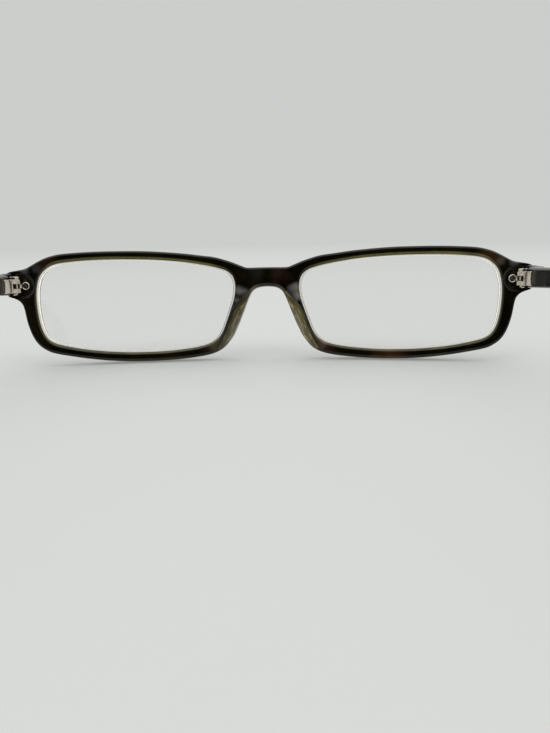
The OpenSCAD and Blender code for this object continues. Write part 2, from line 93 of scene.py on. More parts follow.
print("left hinge at", [round(c, 2) for c in at_hinge(0, 0, 0)])

# %% [markdown]
# ## Helpers for meshes
# Most pieces are rows of points joined by faces, turned or swept from a profile. A finished piece
# is one plain mesh with its place in its points, because a modifier left on it or a moved object
# would make the pattern of its material slide when the model is exported.

# %% Making a mesh
def in_scene(name, data):
    """A new object that shows the given mesh or camera."""
    thing = bpy.data.objects.new(name, data)
    bpy.context.scene.collection.objects.link(thing)
    return thing


def cleaned(mesh, merge):
    """Turns the faces of a mesh outwards, after merging its doubles if merge is true."""
    work = bmesh.new()
    work.from_mesh(mesh)
    if merge:
        bmesh.ops.remove_doubles(work, verts=work.verts, dist=1e-4)
    bmesh.ops.recalc_face_normals(work, faces=work.faces)
    work.to_mesh(mesh)
    work.free()


def mesh_piece(name, points, faces):
    """One object from points and faces, its doubles merged and its faces turned outwards."""
    mesh = bpy.data.meshes.new(name)
    mesh.from_pydata([tuple(p) for p in points], [], faces)
    cleaned(mesh, merge=True)
    return in_scene(name, mesh)


def settled(piece):
    """The piece with its modifiers worked into a plain mesh."""
    now = piece.evaluated_get(bpy.context.evaluated_depsgraph_get())
    mesh = bpy.data.meshes.new_from_object(now)
    piece.modifiers.clear()
    old = piece.data
    piece.data = mesh
    bpy.data.meshes.remove(old)
    return piece


def carved(piece, cutter, way="DIFFERENCE"):
    """Cuts one closed mesh with another, or joins them, and drops the second."""
    cut = piece.modifiers.new("cut", "BOOLEAN")
    cut.operation = way
    cut.solver = "EXACT"
    cut.object = cutter
    settled(piece)
    bpy.data.objects.remove(cutter)
    return piece


# %% Rows of points, turned shapes and rounded blocks
def skin(rows, closed_rows=True, closed_across=False, caps=False):
    """Faces between neighbouring rows of equal length."""
    n = len(rows[0])
    points = [p for row in rows for p in row]
    faces = []
    for i in range(len(rows) if closed_across else len(rows) - 1):
        a = i * n
        b = (i + 1) % len(rows) * n
        for j in range(n if closed_rows else n - 1):
            k = (j + 1) % n
            faces.append((a + j, a + k, b + k, b + j))
    if caps:
        faces.append(tuple(range(n)))
        faces.append(tuple(len(points) - 1 - j for j in range(n)))
    return points, faces


def arc(r, start, stop, step):
    """Points (x, y) on a circle, at every step degrees."""
    return [(r * math.cos(math.radians(a)), r * math.sin(math.radians(a))) for a in range(start, stop, step)]


def circle(r, around):
    """Points (x, y) all round a circle."""
    turns = [2 * math.pi * j / around for j in range(around)]
    return [(r * math.cos(a), r * math.sin(a)) for a in turns]


def turned(name, profile, place, around=64):
    """A profile of (radius, height) turned about its own axis; place puts (x, y, height) in the room."""
    rows = [[place(x, y, h) for x, y in circle(r, around)] for r, h in profile]
    return mesh_piece(name, *skin(rows, caps=True))


def block(name, xs, ys, zs, edge=0):
    """A block between the given limits at the hinge, with all its edges rounded."""
    shape = bmesh.new()
    bmesh.ops.create_cube(shape, size=1)
    for p in shape.verts:
        p.co = [lo + (c + 0.5) * (hi - lo) for c, (lo, hi) in zip(p.co, (xs, ys, zs))]
    if edge:
        bmesh.ops.bevel(shape, geom=shape.edges[:], offset=edge, segments=3, profile=0.5, affect="EDGES")
    shape.verts.index_update()
    points = [at_hinge(*p.co) for p in shape.verts]
    faces = [[p.index for p in f.verts] for f in shape.faces]
    shape.free()
    return mesh_piece(name, points, faces)


def plate(name, outline, low, high, edge):
    """A flat outline (x, y) at the hinge, given height from low to high, its long edges rounded."""
    rows = [[Vector((x, y, z)) for x, y in outline] for z in (low, high)]
    piece = mesh_piece(name, *skin(rows, caps=True))
    round_off = piece.modifiers.new("round", "BEVEL")
    round_off.width = edge
    round_off.segments = 3
    round_off.limit_method = "ANGLE"
    round_off.angle_limit = math.radians(40)
    settled(piece)
    for p in piece.data.vertices:
        p.co = at_hinge(*p.co)
    return piece


# %% Finishing a piece: metres, smooth shading, material and the body that carries it
made = []


def dress(piece, *finishes):
    """Gives the piece these materials in place of any it has."""
    piece.data.materials.clear()
    for finish in finishes:
        piece.data.materials.append(finish)


def finish_piece(piece, body, stands_for, sharp):
    """Turns a piece built in millimetres into a finished one, riding on its body."""
    mesh = piece.data
    mesh.transform(Matrix.Scale(MM, 4))
    mesh.update()
    mesh.polygons.foreach_set("use_smooth", [True] * len(mesh.polygons))
    mesh.set_sharp_from_angle(angle=math.radians(sharp))
    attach(piece, body)
    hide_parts(stands_for)
    made.append(piece.name)
    print(piece.name, len(mesh.polygons), "faces, on", body)


def other_side(piece):
    """The mirror image of a left piece, with its faces turned outwards again."""
    name = piece.name.replace("left", "right")
    mesh = piece.data.copy()
    mesh.name = name
    mesh.transform(Matrix.Scale(-1, 4, (1, 0, 0)))
    mesh.flip_normals()
    return in_scene(name, mesh)


def finish_pair(piece, body, stands_for, sharp=32, twin=None):
    """Finishes a left piece and its mirror image, on the bodies and for the nodes named alike."""
    twin = twin or other_side(piece)
    for half, side in ((piece, "left"), (twin, "right")):
        finish_piece(half, body.replace("left", side), stands_for.replace("left", side), sharp)


# %% [markdown]
# ## The camera
# The photograph was taken from behind, by a phone held close: about 15 cm from the front and a
# little above it, so the temples run past the camera on both sides. Such a near view is what makes
# the front look wide, so the field of view matters as much as the place. The picture is upright,
# so the sensor's long side is its height.

# %% Camera
picture = (550, 733)
focal_px = 548.12
camera = in_scene("camera", bpy.data.cameras.new("camera"))
bpy.context.scene.camera = camera
camera.data.sensor_width = 36
camera.data.lens = 36 * focal_px / picture[1]
camera.data.clip_start = 0.005
yaw = math.radians(-1.7614)
pitch = math.radians(-14.1238)
roll = math.radians(-1.0627)
ahead = Vector((-math.sin(yaw) * math.cos(pitch), -math.cos(yaw) * math.cos(pitch), math.sin(pitch)))
level = Vector((-math.cos(yaw), math.sin(yaw), 0))
above = level.cross(ahead)
across = level * math.cos(roll) + above * math.sin(roll)
upright = above * math.cos(roll) - level * math.sin(roll)
stand = Vector((-0.00634, 0.08133, 0.03496))
camera.matrix_world = Matrix.Translation(stand) @ Matrix((across, upright, -ahead)).transposed().to_4x4()
print("camera", [round(c, 4) for c in stand], "lens", round(camera.data.lens, 2))

# %% [markdown]
# ## Shader building blocks
# Acetate sheet is cast from cloudy colours that run into each other, and the front, the temples
# and the pads are cut from related sheets. So the clouding is one node group, used with other
# colours in each material. A second group gives the fine marks that handling leaves on anything
# polished, as a mask for roughness and a height for bump.

# %% Node helpers
def node(tree, kind, links=(), **values):
    """Adds a node, sets its plain values, and links (socket, source) pairs into it."""
    made_node = tree.nodes.new(kind)
    for key, value in values.items():
        setattr(made_node, key, value)
    for socket, source in links:
        if hasattr(source, "links"):
            tree.links.new(source, made_node.inputs[socket])
        else:
            made_node.inputs[socket].default_value = source
    return made_node


def group(name, inputs, outputs, kind="ShaderNodeTree"):
    """An empty node group with named sockets: (label, type of value, start value)."""
    tree = bpy.data.node_groups.new(name, kind)
    for label, socket, value in inputs:
        made_socket = tree.interface.new_socket(label, in_out="INPUT", socket_type="NodeSocket" + socket)
        if value is not None:
            made_socket.default_value = value
    for label, socket in outputs:
        tree.interface.new_socket(label, in_out="OUTPUT", socket_type="NodeSocket" + socket)
    return tree, tree.nodes.new("NodeGroupInput"), tree.nodes.new("NodeGroupOutput")


def ramp(tree, value, low, high, to=(0.0, 1.0), smooth=True):
    """A value that runs from to[0] to to[1] while the given one runs from low to high."""
    return node(tree, "ShaderNodeMapRange", [
        ("Value", value), ("From Min", low), ("From Max", high), ("To Min", to[0]), ("To Max", to[1])],
        interpolation_type="SMOOTHSTEP" if smooth else "LINEAR").outputs[0]


def maths(tree, operation, a, b):
    return node(tree, "ShaderNodeMath", [(0, a), (1, b)], operation=operation).outputs[0]


def vectors(tree, operation, a, b):
    """Vector maths; b is a plain number if the operation is SCALE."""
    second = "Scale" if operation == "SCALE" else 1
    return node(tree, "ShaderNodeVectorMath", [(0, a), (second, b)], operation=operation).outputs[0]


def noise(tree, where, scale, detail, rough=0.5, swirl=0.0):
    return node(tree, "ShaderNodeTexNoise", [
        ("Vector", where), ("Scale", scale), ("Detail", detail), ("Roughness", rough),
        ("Distortion", swirl)]).outputs["Fac"]


def mix(tree, share, a, b):
    blended = node(tree, "ShaderNodeMix", [("Factor", share), ("A", a), ("B", b)], data_type="RGBA")
    return blended.outputs["Result"]


def attribute(tree, name):
    return node(tree, "ShaderNodeAttribute", attribute_name=name).outputs


# %% Clouded acetate
clouds, given, out = group("clouded acetate", [
    ("Vector", "Vector", (0, 0, 0)),
    ("Cloud size", "Float", 90.0),
    ("Swirl", "Float", 1.2),
    ("Dark", "Color", (0.004, 0.004, 0.003, 1)),
    ("Deep", "Color", (0.02, 0.01, 0.006, 1)),
    ("Light", "Color", (0.1, 0.09, 0.04, 1)),
    ("Light share", "Float", 0.5)],
    [("Color", "Color"), ("Cloud", "Float")])
lie, size, swirl, dark, deep, light, share = given.outputs[:7]
broad = noise(clouds, lie, size, 3.0, 0.55, swirl)
shifted = vectors(clouds, "ADD", lie, (0.37, 0.11, 0.53))
veins = noise(clouds, shifted, maths(clouds, "MULTIPLY", size, 1.9), 4.0, 0.6, swirl)
cloud = ramp(clouds, broad, 0.42, 0.64)
lit = maths(clouds, "MULTIPLY", ramp(clouds, veins, 0.47, 0.7), share)
streaked = mix(clouds, lit, mix(clouds, cloud, dark, deep), light)
clouds.links.new(streaked, out.inputs["Color"])
clouds.links.new(cloud, out.inputs["Cloud"])
print(clouds.name, len(clouds.nodes), "nodes")

# %% Marks of handling
wear, given, out = group("marks of handling", [
    ("Vector", "Vector", (0, 0, 0)),
    ("Mark size", "Float", 900.0),
    ("Stretch", "Vector", (1, 9, 9))],
    [("Mask", "Float"), ("Height", "Float")])
lie, size, stretch = given.outputs[:3]
hairs = noise(wear, vectors(wear, "MULTIPLY", lie, stretch), size, 2.0, 0.7)
smudge = noise(wear, lie, 160.0, 3.0, swirl=0.6)
mask = maths(wear, "MAXIMUM", ramp(wear, hairs, 0.6, 0.8, smooth=False), ramp(wear, smudge, 0.45, 0.7))
wear.links.new(mask, out.inputs["Mask"])
wear.links.new(hairs, out.inputs["Height"])
print(wear.name, len(wear.nodes), "nodes")


# %% A material with its wear
def material(name, base, rough, worn, metal=0.0, bump=0.02, mark_size=900.0, **sockets):
    """A Principled material whose roughness runs from rough to worn with the marks of handling."""
    made_material = bpy.data.materials.new(name)
    made_material.use_nodes = True
    tree = made_material.node_tree
    shader = tree.nodes["Principled BSDF"]
    shader.inputs["Base Color"].default_value = (*base, 1)
    shader.inputs["Metallic"].default_value = metal
    for label, value in sockets.items():
        shader.inputs[label.replace("_", " ")].default_value = value
    place = node(tree, "ShaderNodeTexCoord").outputs["Object"]
    marks = node(tree, "ShaderNodeGroup", node_tree=wear)
    tree.links.new(place, marks.inputs["Vector"])
    marks.inputs["Mark size"].default_value = mark_size
    roughness = ramp(tree, marks.outputs["Mask"], 0.0, 1.0, (rough, worn), smooth=False)
    tree.links.new(roughness, shader.inputs["Roughness"])
    raised = node(tree, "ShaderNodeBump", [
        ("Strength", bump), ("Distance", 0.0001), ("Height", marks.outputs["Height"])])
    tree.links.new(raised.outputs["Normal"], shader.inputs["Normal"])
    return made_material, tree, shader, place


# %% [markdown]
# ## Acetate
# The photograph shows a front that looks black until an edge catches the light: there it is olive,
# grey or brown, because light runs a little way into the sheet. Tracing light through it would be
# slow and would be lost in the export, so the mesh carries a colour attribute, named tint, that is
# black on the thick flats and takes the colour of the lit edge where the sheet is thin.

# %% Acetate for the front, the temples and the pads
def acetate(name, size, swirl, colours, share, shine, stretch=(1, 1, 1), rough=0.07, worn=0.17, vary=0.5,
            laid=None, kept=None):
    """Clouded acetate plus the tint. Two attributes can be named: laid holds the places that the
    clouds follow in place of the object's own, and kept says how much clouding shows."""
    made_material, tree, shader, lie = material(
        name, colours[0], rough, worn, bump=0.03, Specular_IOR_Level=shine)
    if laid:
        lie = attribute(tree, laid)["Vector"]
    run = node(tree, "ShaderNodeMapping", [("Vector", lie), ("Scale", stretch)])
    cast = node(tree, "ShaderNodeGroup", node_tree=clouds)
    tree.links.new(run.outputs[0], cast.inputs["Vector"])
    for label, value in (("Cloud size", size), ("Swirl", swirl), ("Light share", share)):
        cast.inputs[label].default_value = value
    for label, value in zip(("Dark", "Deep", "Light"), colours):
        cast.inputs[label].default_value = (*value, 1)
    uneven = ramp(tree, cast.outputs["Cloud"], 0.0, 1.0, (1 - vary, 1 + vary * 0.4), smooth=False)
    mottled = vectors(tree, "SCALE", attribute(tree, "tint")["Color"], uneven)
    colour = cast.outputs["Color"]
    if kept:
        colour = vectors(tree, "SCALE", colour, attribute(tree, kept)["Fac"])
    tree.links.new(vectors(tree, "ADD", colour, mottled), shader.inputs["Base Color"])
    return made_material


BLACK = (0.0028, 0.0022, 0.0004)
front_acetate = acetate(
    "front acetate", 75, 1.4, (BLACK, (0.0065, 0.0045, 0.001), (0.016, 0.011, 0.002)), 0.35, 0.32, vary=0.3)
temple_acetate = acetate(
    "temple acetate", 75, 1.4, (BLACK, (0.011, 0.01, 0.007), (0.034, 0.032, 0.024)), 0.6, 0.3,
    stretch=(1, 1.6, 0.45))
temple_inside = acetate(
    "temple acetate dulled by wear", 110, 1.4,
    ((0.002, 0.0018, 0.0006), (0.009, 0.008, 0.006), (0.05, 0.047, 0.038)), 0.7, 0.04,
    stretch=(1, 2.2, 0.35), rough=0.3, worn=0.45)
pad_acetate = acetate(
    "pad acetate", 440, 0.9, ((0.065, 0.054, 0.02), (0.18, 0.153, 0.07), (0.33, 0.28, 0.145)), 0.85, 0.25,
    stretch=(1, 0.28, 1), rough=0.12, worn=0.22, vary=0.3, laid="lie", kept="keep")
print("acetates:", front_acetate.name, temple_acetate.name, pad_acetate.name)

# %% [markdown]
# ## Metals and glass
# Hinge parts of glasses are pressed from nickel silver, a little yellower than steel, and are
# tumbled and not polished, so they reflect softly. The screw and the eyelet are turned, and
# brighter. A near-black metal is painted shade on the hinge's faces that lie in shadow. The spring
# is drawn steel. The lens is clear with a coating that keeps reflections low. Its ground edge is
# frosted, and light that runs inside the lens comes out there, so the edge glows a little: that is
# the pale ring inside the rim, a painted glow made by an emission.

# %% Metals
hinge_metal = material("nickel silver", (0.64, 0.585, 0.5), 0.17, 0.36, 1.0, 0.06, 1600.0)[0]
screw_metal = material("turned steel", (0.64, 0.59, 0.51), 0.15, 0.32, 1.0, 0.05, 1800.0)[0]
spring_steel = material("spring steel", (0.42, 0.42, 0.43), 0.24, 0.4, 1.0, 0.02, 2200.0)[0]
core_wire = material("nickel silver wire", (0.6, 0.58, 0.52), 0.3, 0.45, 1.0, 0.02, 1400.0)[0]
# Painted shade: near-black metal for hinge faces that lie in shadow.
painted_shade_metal = material("painted hinge shade", (0.022, 0.02, 0.017), 0.5, 0.7, bump=0.04, Specular_IOR_Level=0.2)[0]

# %% Lens and its ground edge
lens_glass = material(
    "lens", (0.985, 0.985, 0.99), 0.0, 0.03, bump=0.0, Transmission_Weight=1.0, IOR=1.5,
    Specular_IOR_Level=0.2)[0]
# The emission is painted light: the glow that the frosted edge gives off.
lens_edge = material(
    "ground lens edge, painted glow", (0.95, 0.94, 0.9), 0.4, 0.6, bump=0.05, Emission_Color=(1, 0.97, 0.86, 1),
    Emission_Strength=0.45)[0]
lens_line = material(
    "broken lens corner", (0.36, 0.36, 0.345), 0.4, 0.6, bump=0.05, Transmission_Weight=0.3, IOR=1.5)[0]
print("metals and glass ready")

# %% [markdown]
# ## Smooth outlines
# The outline of a rim is a few dozen places with a smooth curve through them. The curve is the
# usual one through four neighbouring places at a time, so it passes every place exactly, and one
# more place changes only its own corner.

# %% Curves through places
def between(a, b, c, d, t):
    """The place at share t of the way from b to c, with a and d as neighbours."""
    return tuple(
        (2 * q + (r - p) * t + (2 * p - 5 * q + 4 * r - s) * t * t + (3 * q - p - 3 * r + s) * t ** 3) / 2
        for p, q, r, s in zip(a, b, c, d))


def closed_curve(places, steps):
    n = len(places)
    return [between(places[i - 1], places[i], places[(i + 1) % n], places[(i + 2) % n], k / steps)
            for i in range(n) for k in range(steps)]


def open_curve(places, steps):
    last = len(places) - 1
    points = [between(places[max(i - 1, 0)], places[i], places[i + 1], places[min(i + 2, last)], k / steps)
              for i in range(last) for k in range(steps)]
    return points + [tuple(places[last])]


def smooth_step(x, low, high):
    t = min(1.0, max(0.0, (x - low) / (high - low)))
    return t * t * (3 - 2 * t)


def read_off(table, x):
    """The value at x in a table of (x, value), straight between its rows."""
    for (x0, y0), (x1, y1) in zip(table, table[1:]):
        if x0 <= x <= x1:
            return y0 + (y1 - y0) * (x - x0) / (x1 - x0) if x1 > x0 else y0
    return table[0][1] if x < table[0][0] else table[-1][1]


# %% Directions across an outline
def outwards(loop):
    """For each point of a clockwise loop, the unit direction that points out of it."""
    directions = []
    for i in range(len(loop)):
        a = Vector(loop[i - 1])
        b = Vector(loop[(i + 1) % len(loop)])
        along = (b - a).normalized()
        directions.append(Vector((-along.y, along.x)))
    return directions


# %% Outlines of the lens opening and of the front
opening_places = [
    (8.8, 19.3), (8.95, 21.3), (9.6, 22.9), (11.2, 24.25), (14.2, 25.22), (18.1, 26),
    (24, 26.85), (31, 27.35), (39.5, 27.5), (47.5, 27.25), (53.5, 26.65), (56.6, 25.95),
    (58.6, 24.65), (60, 22.7), (60.7, 19.8), (60.85, 16.5), (60.5, 12.5), (59.85, 9.3),
    (58.8, 7), (57.2, 5.6), (54.4, 4.65), (48.5, 3.5), (41.5, 2.8), (35, 2.6), (28, 2.8),
    (21.5, 3.45), (17, 4.35), (14.5, 5.55), (13, 6.9), (12.1, 8.5), (11.1, 11.1),
    (10.1, 13.9), (9.2, 16.7)]
top_places = [
    (0, 25.1), (2.5, 25.08), (4.6, 25.05), (5.8, 25.15), (7.5, 25.8), (10.2, 26.85),
    (14.2, 28), (18, 28.5), (23, 29.1), (29, 29.55), (34, 29.75), (39, 29.75), (44, 29.65),
    (49, 29.4), (54, 28.95), (56.5, 28.45), (58.5, 27.75), (60.3, 26.8), (61.9, 25.8),
    (63.4, 24.95), (65, 24.5), (66.5, 24.15), (67.5, 23.7), (67.9, 23)]
foot_places = [
    (67.9, 18.2), (67.4, 17.6), (66, 17.15), (65, 16.6), (64.2, 15.6), (63.8, 14.3), (63.3, 11.3),
    (62.9, 9.6), (62.3, 7.8), (61.5, 6.1), (60.3, 4.55), (58.6, 3.3), (56.8, 2.55), (53.5, 1.85),
    (48.5, 1), (43, 0.35), (38, 0.05), (33, 0), (28, 0.15), (23, 0.5), (18, 1.15), (15, 1.85),
    (13, 2.75), (11.6, 3.85), (10.4, 5.3), (9.35, 6.85), (8.55, 8.5), (7.8, 10.1), (7.1, 11.8),
    (6.45, 13.4), (5.85, 15), (5.2, 16.6), (4.45, 18.2), (3.5, 19.2), (2.1, 19.8), (0, 20)]
OPENING_EASE = 0.07


def moved(loop, m):
    """A clockwise loop with every point moved out of it by m."""
    return [(u + n.x * m, v + n.y * m) for (u, v), n in zip(loop, outwards(loop))]


def mirrored(loop):
    return [(-p[0], *p[1:]) for p in loop]


opening = moved(closed_curve(opening_places, 6), OPENING_EASE)
side_wall = [(67.9, 23 - 4.8 * k / 8) for k in range(1, 8)]
half_edge = open_curve(top_places, 5) + side_wall + open_curve(foot_places, 5)
outer_edge = half_edge + mirrored(half_edge[-2:0:-1])
print("opening", len(opening), "points; outer edge", len(outer_edge))


# %% [markdown]
# ## The front
# A front is milled from flat acetate sheet, pressed to a slight curve and then tumbled for days,
# which rounds every edge. A bevel modifier on such a thin, curved outline folds over itself at the
# endpieces. So the cross-section is written down instead: a list of insets from the outline and
# depths, walked round the outer edge and round both openings. The groove for the lens is simply
# part of the section of the opening.

# %% Cross-sections
LIP = 0.14
GROOVE = [(0.0, -1.45), (0.6, -1.45), (0.6, -2.35), (0.0, -2.35)]


def round_edge(radius_back, radius_front, steps=6):
    """(inset, depth) from the back flat over the back edge, down the wall, to the front flat."""
    turns = [math.radians(90 * k / steps) for k in range(steps + 1)]
    back = [(radius_back * (1 - math.cos(a)), -radius_back * (1 - math.sin(a))) for a in reversed(turns)]
    front = [(radius_front * (1 - math.cos(a)), radius_front * (1 - math.sin(a)) - FRONT_T) for a in turns]
    return [(radius_back + LIP, 0.0)] + back, front + [(radius_front + LIP, -FRONT_T)]


def outer_section(u, v):
    """Softer on the top and the foot, softest under the bridge, crisp at the endpiece's tip."""
    tip = smooth_step(abs(u), 62.5, 66.5)
    nose = (1 - smooth_step(abs(u), 7, 12)) * (1 - smooth_step(v, 20.5, 22))
    back = 0.78 * (1 - tip) + 0.3 * tip + 0.1 * nose
    front = 0.55 * (1 - tip) + 0.3 * tip
    first, second = round_edge(back, front)
    return first + second


def opening_section(u, v):
    """Softly rounded above and below the lens, crisp on the temple side."""
    first, second = round_edge(0.72 - 0.4 * smooth_step(abs(u), 54.5, 59.5), 0.5)
    return first + GROOVE + second


def loops_along(outline, section, sign):
    """One loop of (u, v, depth) for each place of the section, inset by sign times the direction."""
    normals = outwards(outline)
    sections = [section(*p) for p in outline]
    return [[(p[0] + sign * n.x * s[k][0], p[1] + sign * n.y * s[k][0], s[k][1])
             for p, n, s in zip(outline, normals, sections)] for k in range(len(sections[0]))]


outer_loops = loops_along(outer_edge, outer_section, -1)
left_loops = loops_along(opening, opening_section, 1)
right_loops = [mirrored(loop) for loop in left_loops]
print("outer loops", len(outer_loops), "opening loops", len(left_loops))

# %% [markdown]
# ## Where the front lights up
# The tint of a point follows the way its edge faces, and it is painted light. The upper rim's inner
# edge glows olive from the light that the floor throws into it, the lower rim's is greyer, the
# underside of the bridge is smoke-grey and the shoulders of the bridge are paler. A few soft patches
# stand for the brown clouds that show in single spots, and two olive patches sit low beside the nose.
# The rest are painted light as well: grey-blue painted highlights on the endpieces, and pale
# painted reflections beside the bridge, where the pads meet the front.

# %% Tint of the front
# Clouds of the sheet first; from (60.3, 24.9) on, painted highlights on the endpieces' polished edges; then
# pale painted reflections beside the bridge; last, two olive patches low by the nose.
spots_and_glints = [
    (57.5, 25.6, 3.2, (0.024, 0.011, 0.007)), (-57.5, 25.8, 3.4, (0.03, 0.014, 0.006)),
    (-3.0, 23.0, 2.6, (0.03, 0.012, 0.011)), (3.2, 23.6, 2.2, (0.011, 0.011, 0.011)),
    (-33.0, 1.2, 5.0, (0.034, 0.014, 0.006)), (15.5, 3.4, 3.4, (0.022, 0.012, 0.012)),
    (-15.5, 3.6, 3.0, (0.026, 0.013, 0.012)), (60.3, 24.9, 1.3, (0.04, 0.041, 0.048)),
    (63.2, 24.5, 1.2, (0.05, 0.054, 0.062)), (-60.2, 25.0, 1.2, (0.045, 0.042, 0.04)),
    (-63.4, 24.5, 1.3, (0.045, 0.055, 0.065)),
    (6.9, 18.8, 1.7, (0.26, 0.25, 0.24)), (8.2, 16.3, 0.8, (0.16, 0.145, 0.12)),
    (-7.2, 19.3, 1.8, (0.26, 0.245, 0.235)), (-8.0, 17.0, 1.3, (0.24, 0.225, 0.205)),
    (14.4, 4.5, 2.2, (0.1, 0.092, 0.05)), (-14.0, 4.7, 2.2, (0.11, 0.096, 0.07))]


def spot_and_glint_tint(u, v):
    tint = Vector((0, 0, 0))
    for at_u, at_v, radius, colour in spots_and_glints:
        near = math.hypot(u - at_u, v - at_v) / radius
        tint += Vector(colour) * (1 - smooth_step(near, 0.35, 1.25))
    return tint


def share_at(shares, k, beyond):
    return shares[k] if k < len(shares) else beyond


def opening_tint(u, v, n, k):
    """n points into the rim, so a falling n is the lower rim; k is the place in the section."""
    roof = share_at((0.0, 0.1, 0.55, 1.0, 1.0, 0.6, 0.15, 0.05, 0.05), k, 0.05)
    sill = share_at((0.1, 0.45, 0.85, 0.95, 0.85, 0.75, 0.9, 1.0, 0.9), k, 0.05)
    late = share_at((0.0, 0.0, 0.05, 0.2, 0.45, 0.8, 1.0, 0.5, 0.2), k, 0.05)
    upper = smooth_step(n.y, 0.35, 0.95)
    lower = smooth_step(-n.y, 0.3, 0.95)
    side = 1 - max(upper, lower)
    nasal = 1 - smooth_step(abs(u), 10, 16)
    corner = smooth_step(-n.y, -0.2, 0.8) * smooth_step(abs(u), 54, 60)
    tint = Vector((0.15, 0.135, 0.024)) * upper * roof * (1 - 0.8 * nasal)
    tint += Vector((0.115, 0.108, 0.07)) * lower * sill
    edge = Vector((0.022, 0.019, 0.006)) * side * (1 - nasal) * (1 - smooth_step(v, 14, 24))
    edge += Vector((0.03, 0.026, 0.007)) * corner
    return tint * (1 - 0.75 * smooth_step(abs(u), 55, 60)) + edge * late


def outer_tint(u, v, n, k):
    """n points out of the rim."""
    lit = share_at((0.0, 0.12, 0.6, 0.95, 1.0, 0.9, 0.7, 0.45), k, 0.15)
    under = smooth_step(-n.y, 0.3, 0.95) * smooth_step(abs(u), 16, 22) * (1 - smooth_step(abs(u), 50, 60))
    bridge = (1 - smooth_step(abs(u), 5.5, 9.5)) * (1 - smooth_step(v, 20.6, 21.6))
    over = smooth_step(n.y, 0.3, 0.9) * smooth_step(abs(u), 12, 16)
    shoulder = bridge * smooth_step(abs(u), 1.5, 3.8)
    tint = Vector((0.024, 0.021, 0.006)) * under + Vector((0.016, 0.013, 0.009)) * bridge
    tint += Vector((0.085, 0.076, 0.058)) * shoulder
    return (tint + Vector((0.008, 0.0065, 0.001)) * over) * lit


def tints_along(loops, outline, normals, tint_rule):
    """A tint for each point of the loops; the patches and painted highlights reach only the back half of the
    section.
    """
    return [tint_rule(*p, n, k) + (spot_and_glint_tint(*q[:2]) if k < 8 else Vector((0, 0, 0)))
            for k, loop in enumerate(loops) for p, n, q in zip(outline, normals, loop)]


def painted(mesh, tints):
    """Stores one colour for each point as the mesh's tint."""
    layer = mesh.color_attributes.new("tint", "FLOAT_COLOR", "POINT")
    layer.data.foreach_set("color", [c for t in tints for c in (*t, 1.0)])


into_rim = outwards(opening)
sheets = (outer_loops, left_loops, right_loops)
tints = tints_along(outer_loops, outer_edge, outwards(outer_edge), outer_tint)
tints += tints_along(left_loops, opening, into_rim, opening_tint)
tints += tints_along(right_loops, mirrored(opening), into_rim, opening_tint)


# %% Filling the flats between the outlines
def fill_between(loops):
    """Triangles between flat closed loops, as places in the loops laid end to end."""
    flat = bmesh.new()
    rim_edges = []
    for loop in loops:
        corners = [flat.verts.new((p[0], p[1], 0)) for p in loop]
        rim_edges += [flat.edges.new((corners[i - 1], corners[i])) for i in range(len(corners))]
    flat.verts.index_update()
    bmesh.ops.triangle_fill(flat, edges=rim_edges, use_beauty=True, normal=(0, 0, 1))
    triangles = [[p.index for p in f.verts] for f in flat.faces]
    flat.free()
    return triangles


points = []
faces = []
starts = []
for loops in sheets:
    rows_points, rows_faces = skin(loops)
    starts.append(len(points))
    faces += [tuple(len(points) + i for i in f) for f in rows_faces]
    points += rows_points
for k in (0, -1):
    order = []
    for start, loops in zip(starts, sheets):
        n = len(loops[0])
        first = start + k % len(loops) * n
        order += range(first, first + n)
    faces += [tuple(order[i] for i in t) for t in fill_between([loops[k] for loops in sheets])]
print("front:", len(points), "points,", len(faces), "faces before milling")

# %% [markdown]
# The flats are filled with long thin triangles. They are right while the sheet is flat, but they
# would bridge its curve once it is pressed. So the flat sheet is sliced every few millimetres, and
# finely where the hinges go, before its points are moved on to the curve.

# %% Front mesh: sliced flat, then pressed to its curve
def slice_sheet(sheet, origin, normal, beyond):
    """Cuts the faces that cross one plane and reach past beyond (in u, on the side of origin)."""
    near = []
    for f in sheet.faces:
        sides = [(p.co - Vector(origin)).dot(normal) for p in f.verts]
        reach = max(p.co.x * origin[0] for p in f.verts)
        if min(sides) < 0 < max(sides) and reach >= beyond * abs(origin[0]):
            near.append(f)
    parts = set(near)
    for f in near:
        parts.update(f.edges)
        parts.update(f.verts)
    bmesh.ops.bisect_plane(sheet, geom=list(parts), dist=1e-5, plane_co=origin, plane_no=normal)


mesh = bpy.data.meshes.new("front")
mesh.from_pydata(points, [], faces)
painted(mesh, tints)
sheet = bmesh.new()
sheet.from_mesh(mesh)
for side in (1, -1):
    for u in [2.0 + 3.0 * k for k in range(19)] + [58.5 + 0.5 * k for k in range(18)]:
        slice_sheet(sheet, (side * u, 0, 0), Vector((1, 0, 0)), u)
    for k in range(17):
        slice_sheet(sheet, (side * 60.0, 16.0 + 0.55 * k, 0), Vector((0, 1, 0)), 60.0)
bmesh.ops.triangulate(sheet, faces=[f for f in sheet.faces if len(f.verts) > 4])
tint_layer = sheet.verts.layers.float_color["tint"]
for p in sheet.verts:
    if abs(p.co.z) < 1e-6:
        p[tint_layer] = (*spot_and_glint_tint(p.co.x, p.co.y), 1.0)
    p.co = in_front(p.co.x, p.co.z, p.co.y)
bmesh.ops.recalc_face_normals(sheet, faces=sheet.faces)
sheet.to_mesh(mesh)
sheet.free()
front = in_scene("front", mesh)
print("front:", len(mesh.polygons), "faces once pressed")

# %% [markdown]
# ## Milling the seats for the hinges
# Behind each endpiece a cutter leaves a round recess for the hinge, and the temple's end butts
# against a flat. Polishing afterwards dishes the rim of the recess, which shows as a bright curve
# round the hinge. Each cut is a closed tool taken away with an exact boolean. The points that a
# cut makes have no tint of their own, so every point that was there before gets its tint back. The
# new ones stay black, apart from a soft grey stripe on the dished rim, which is a painted highlight.

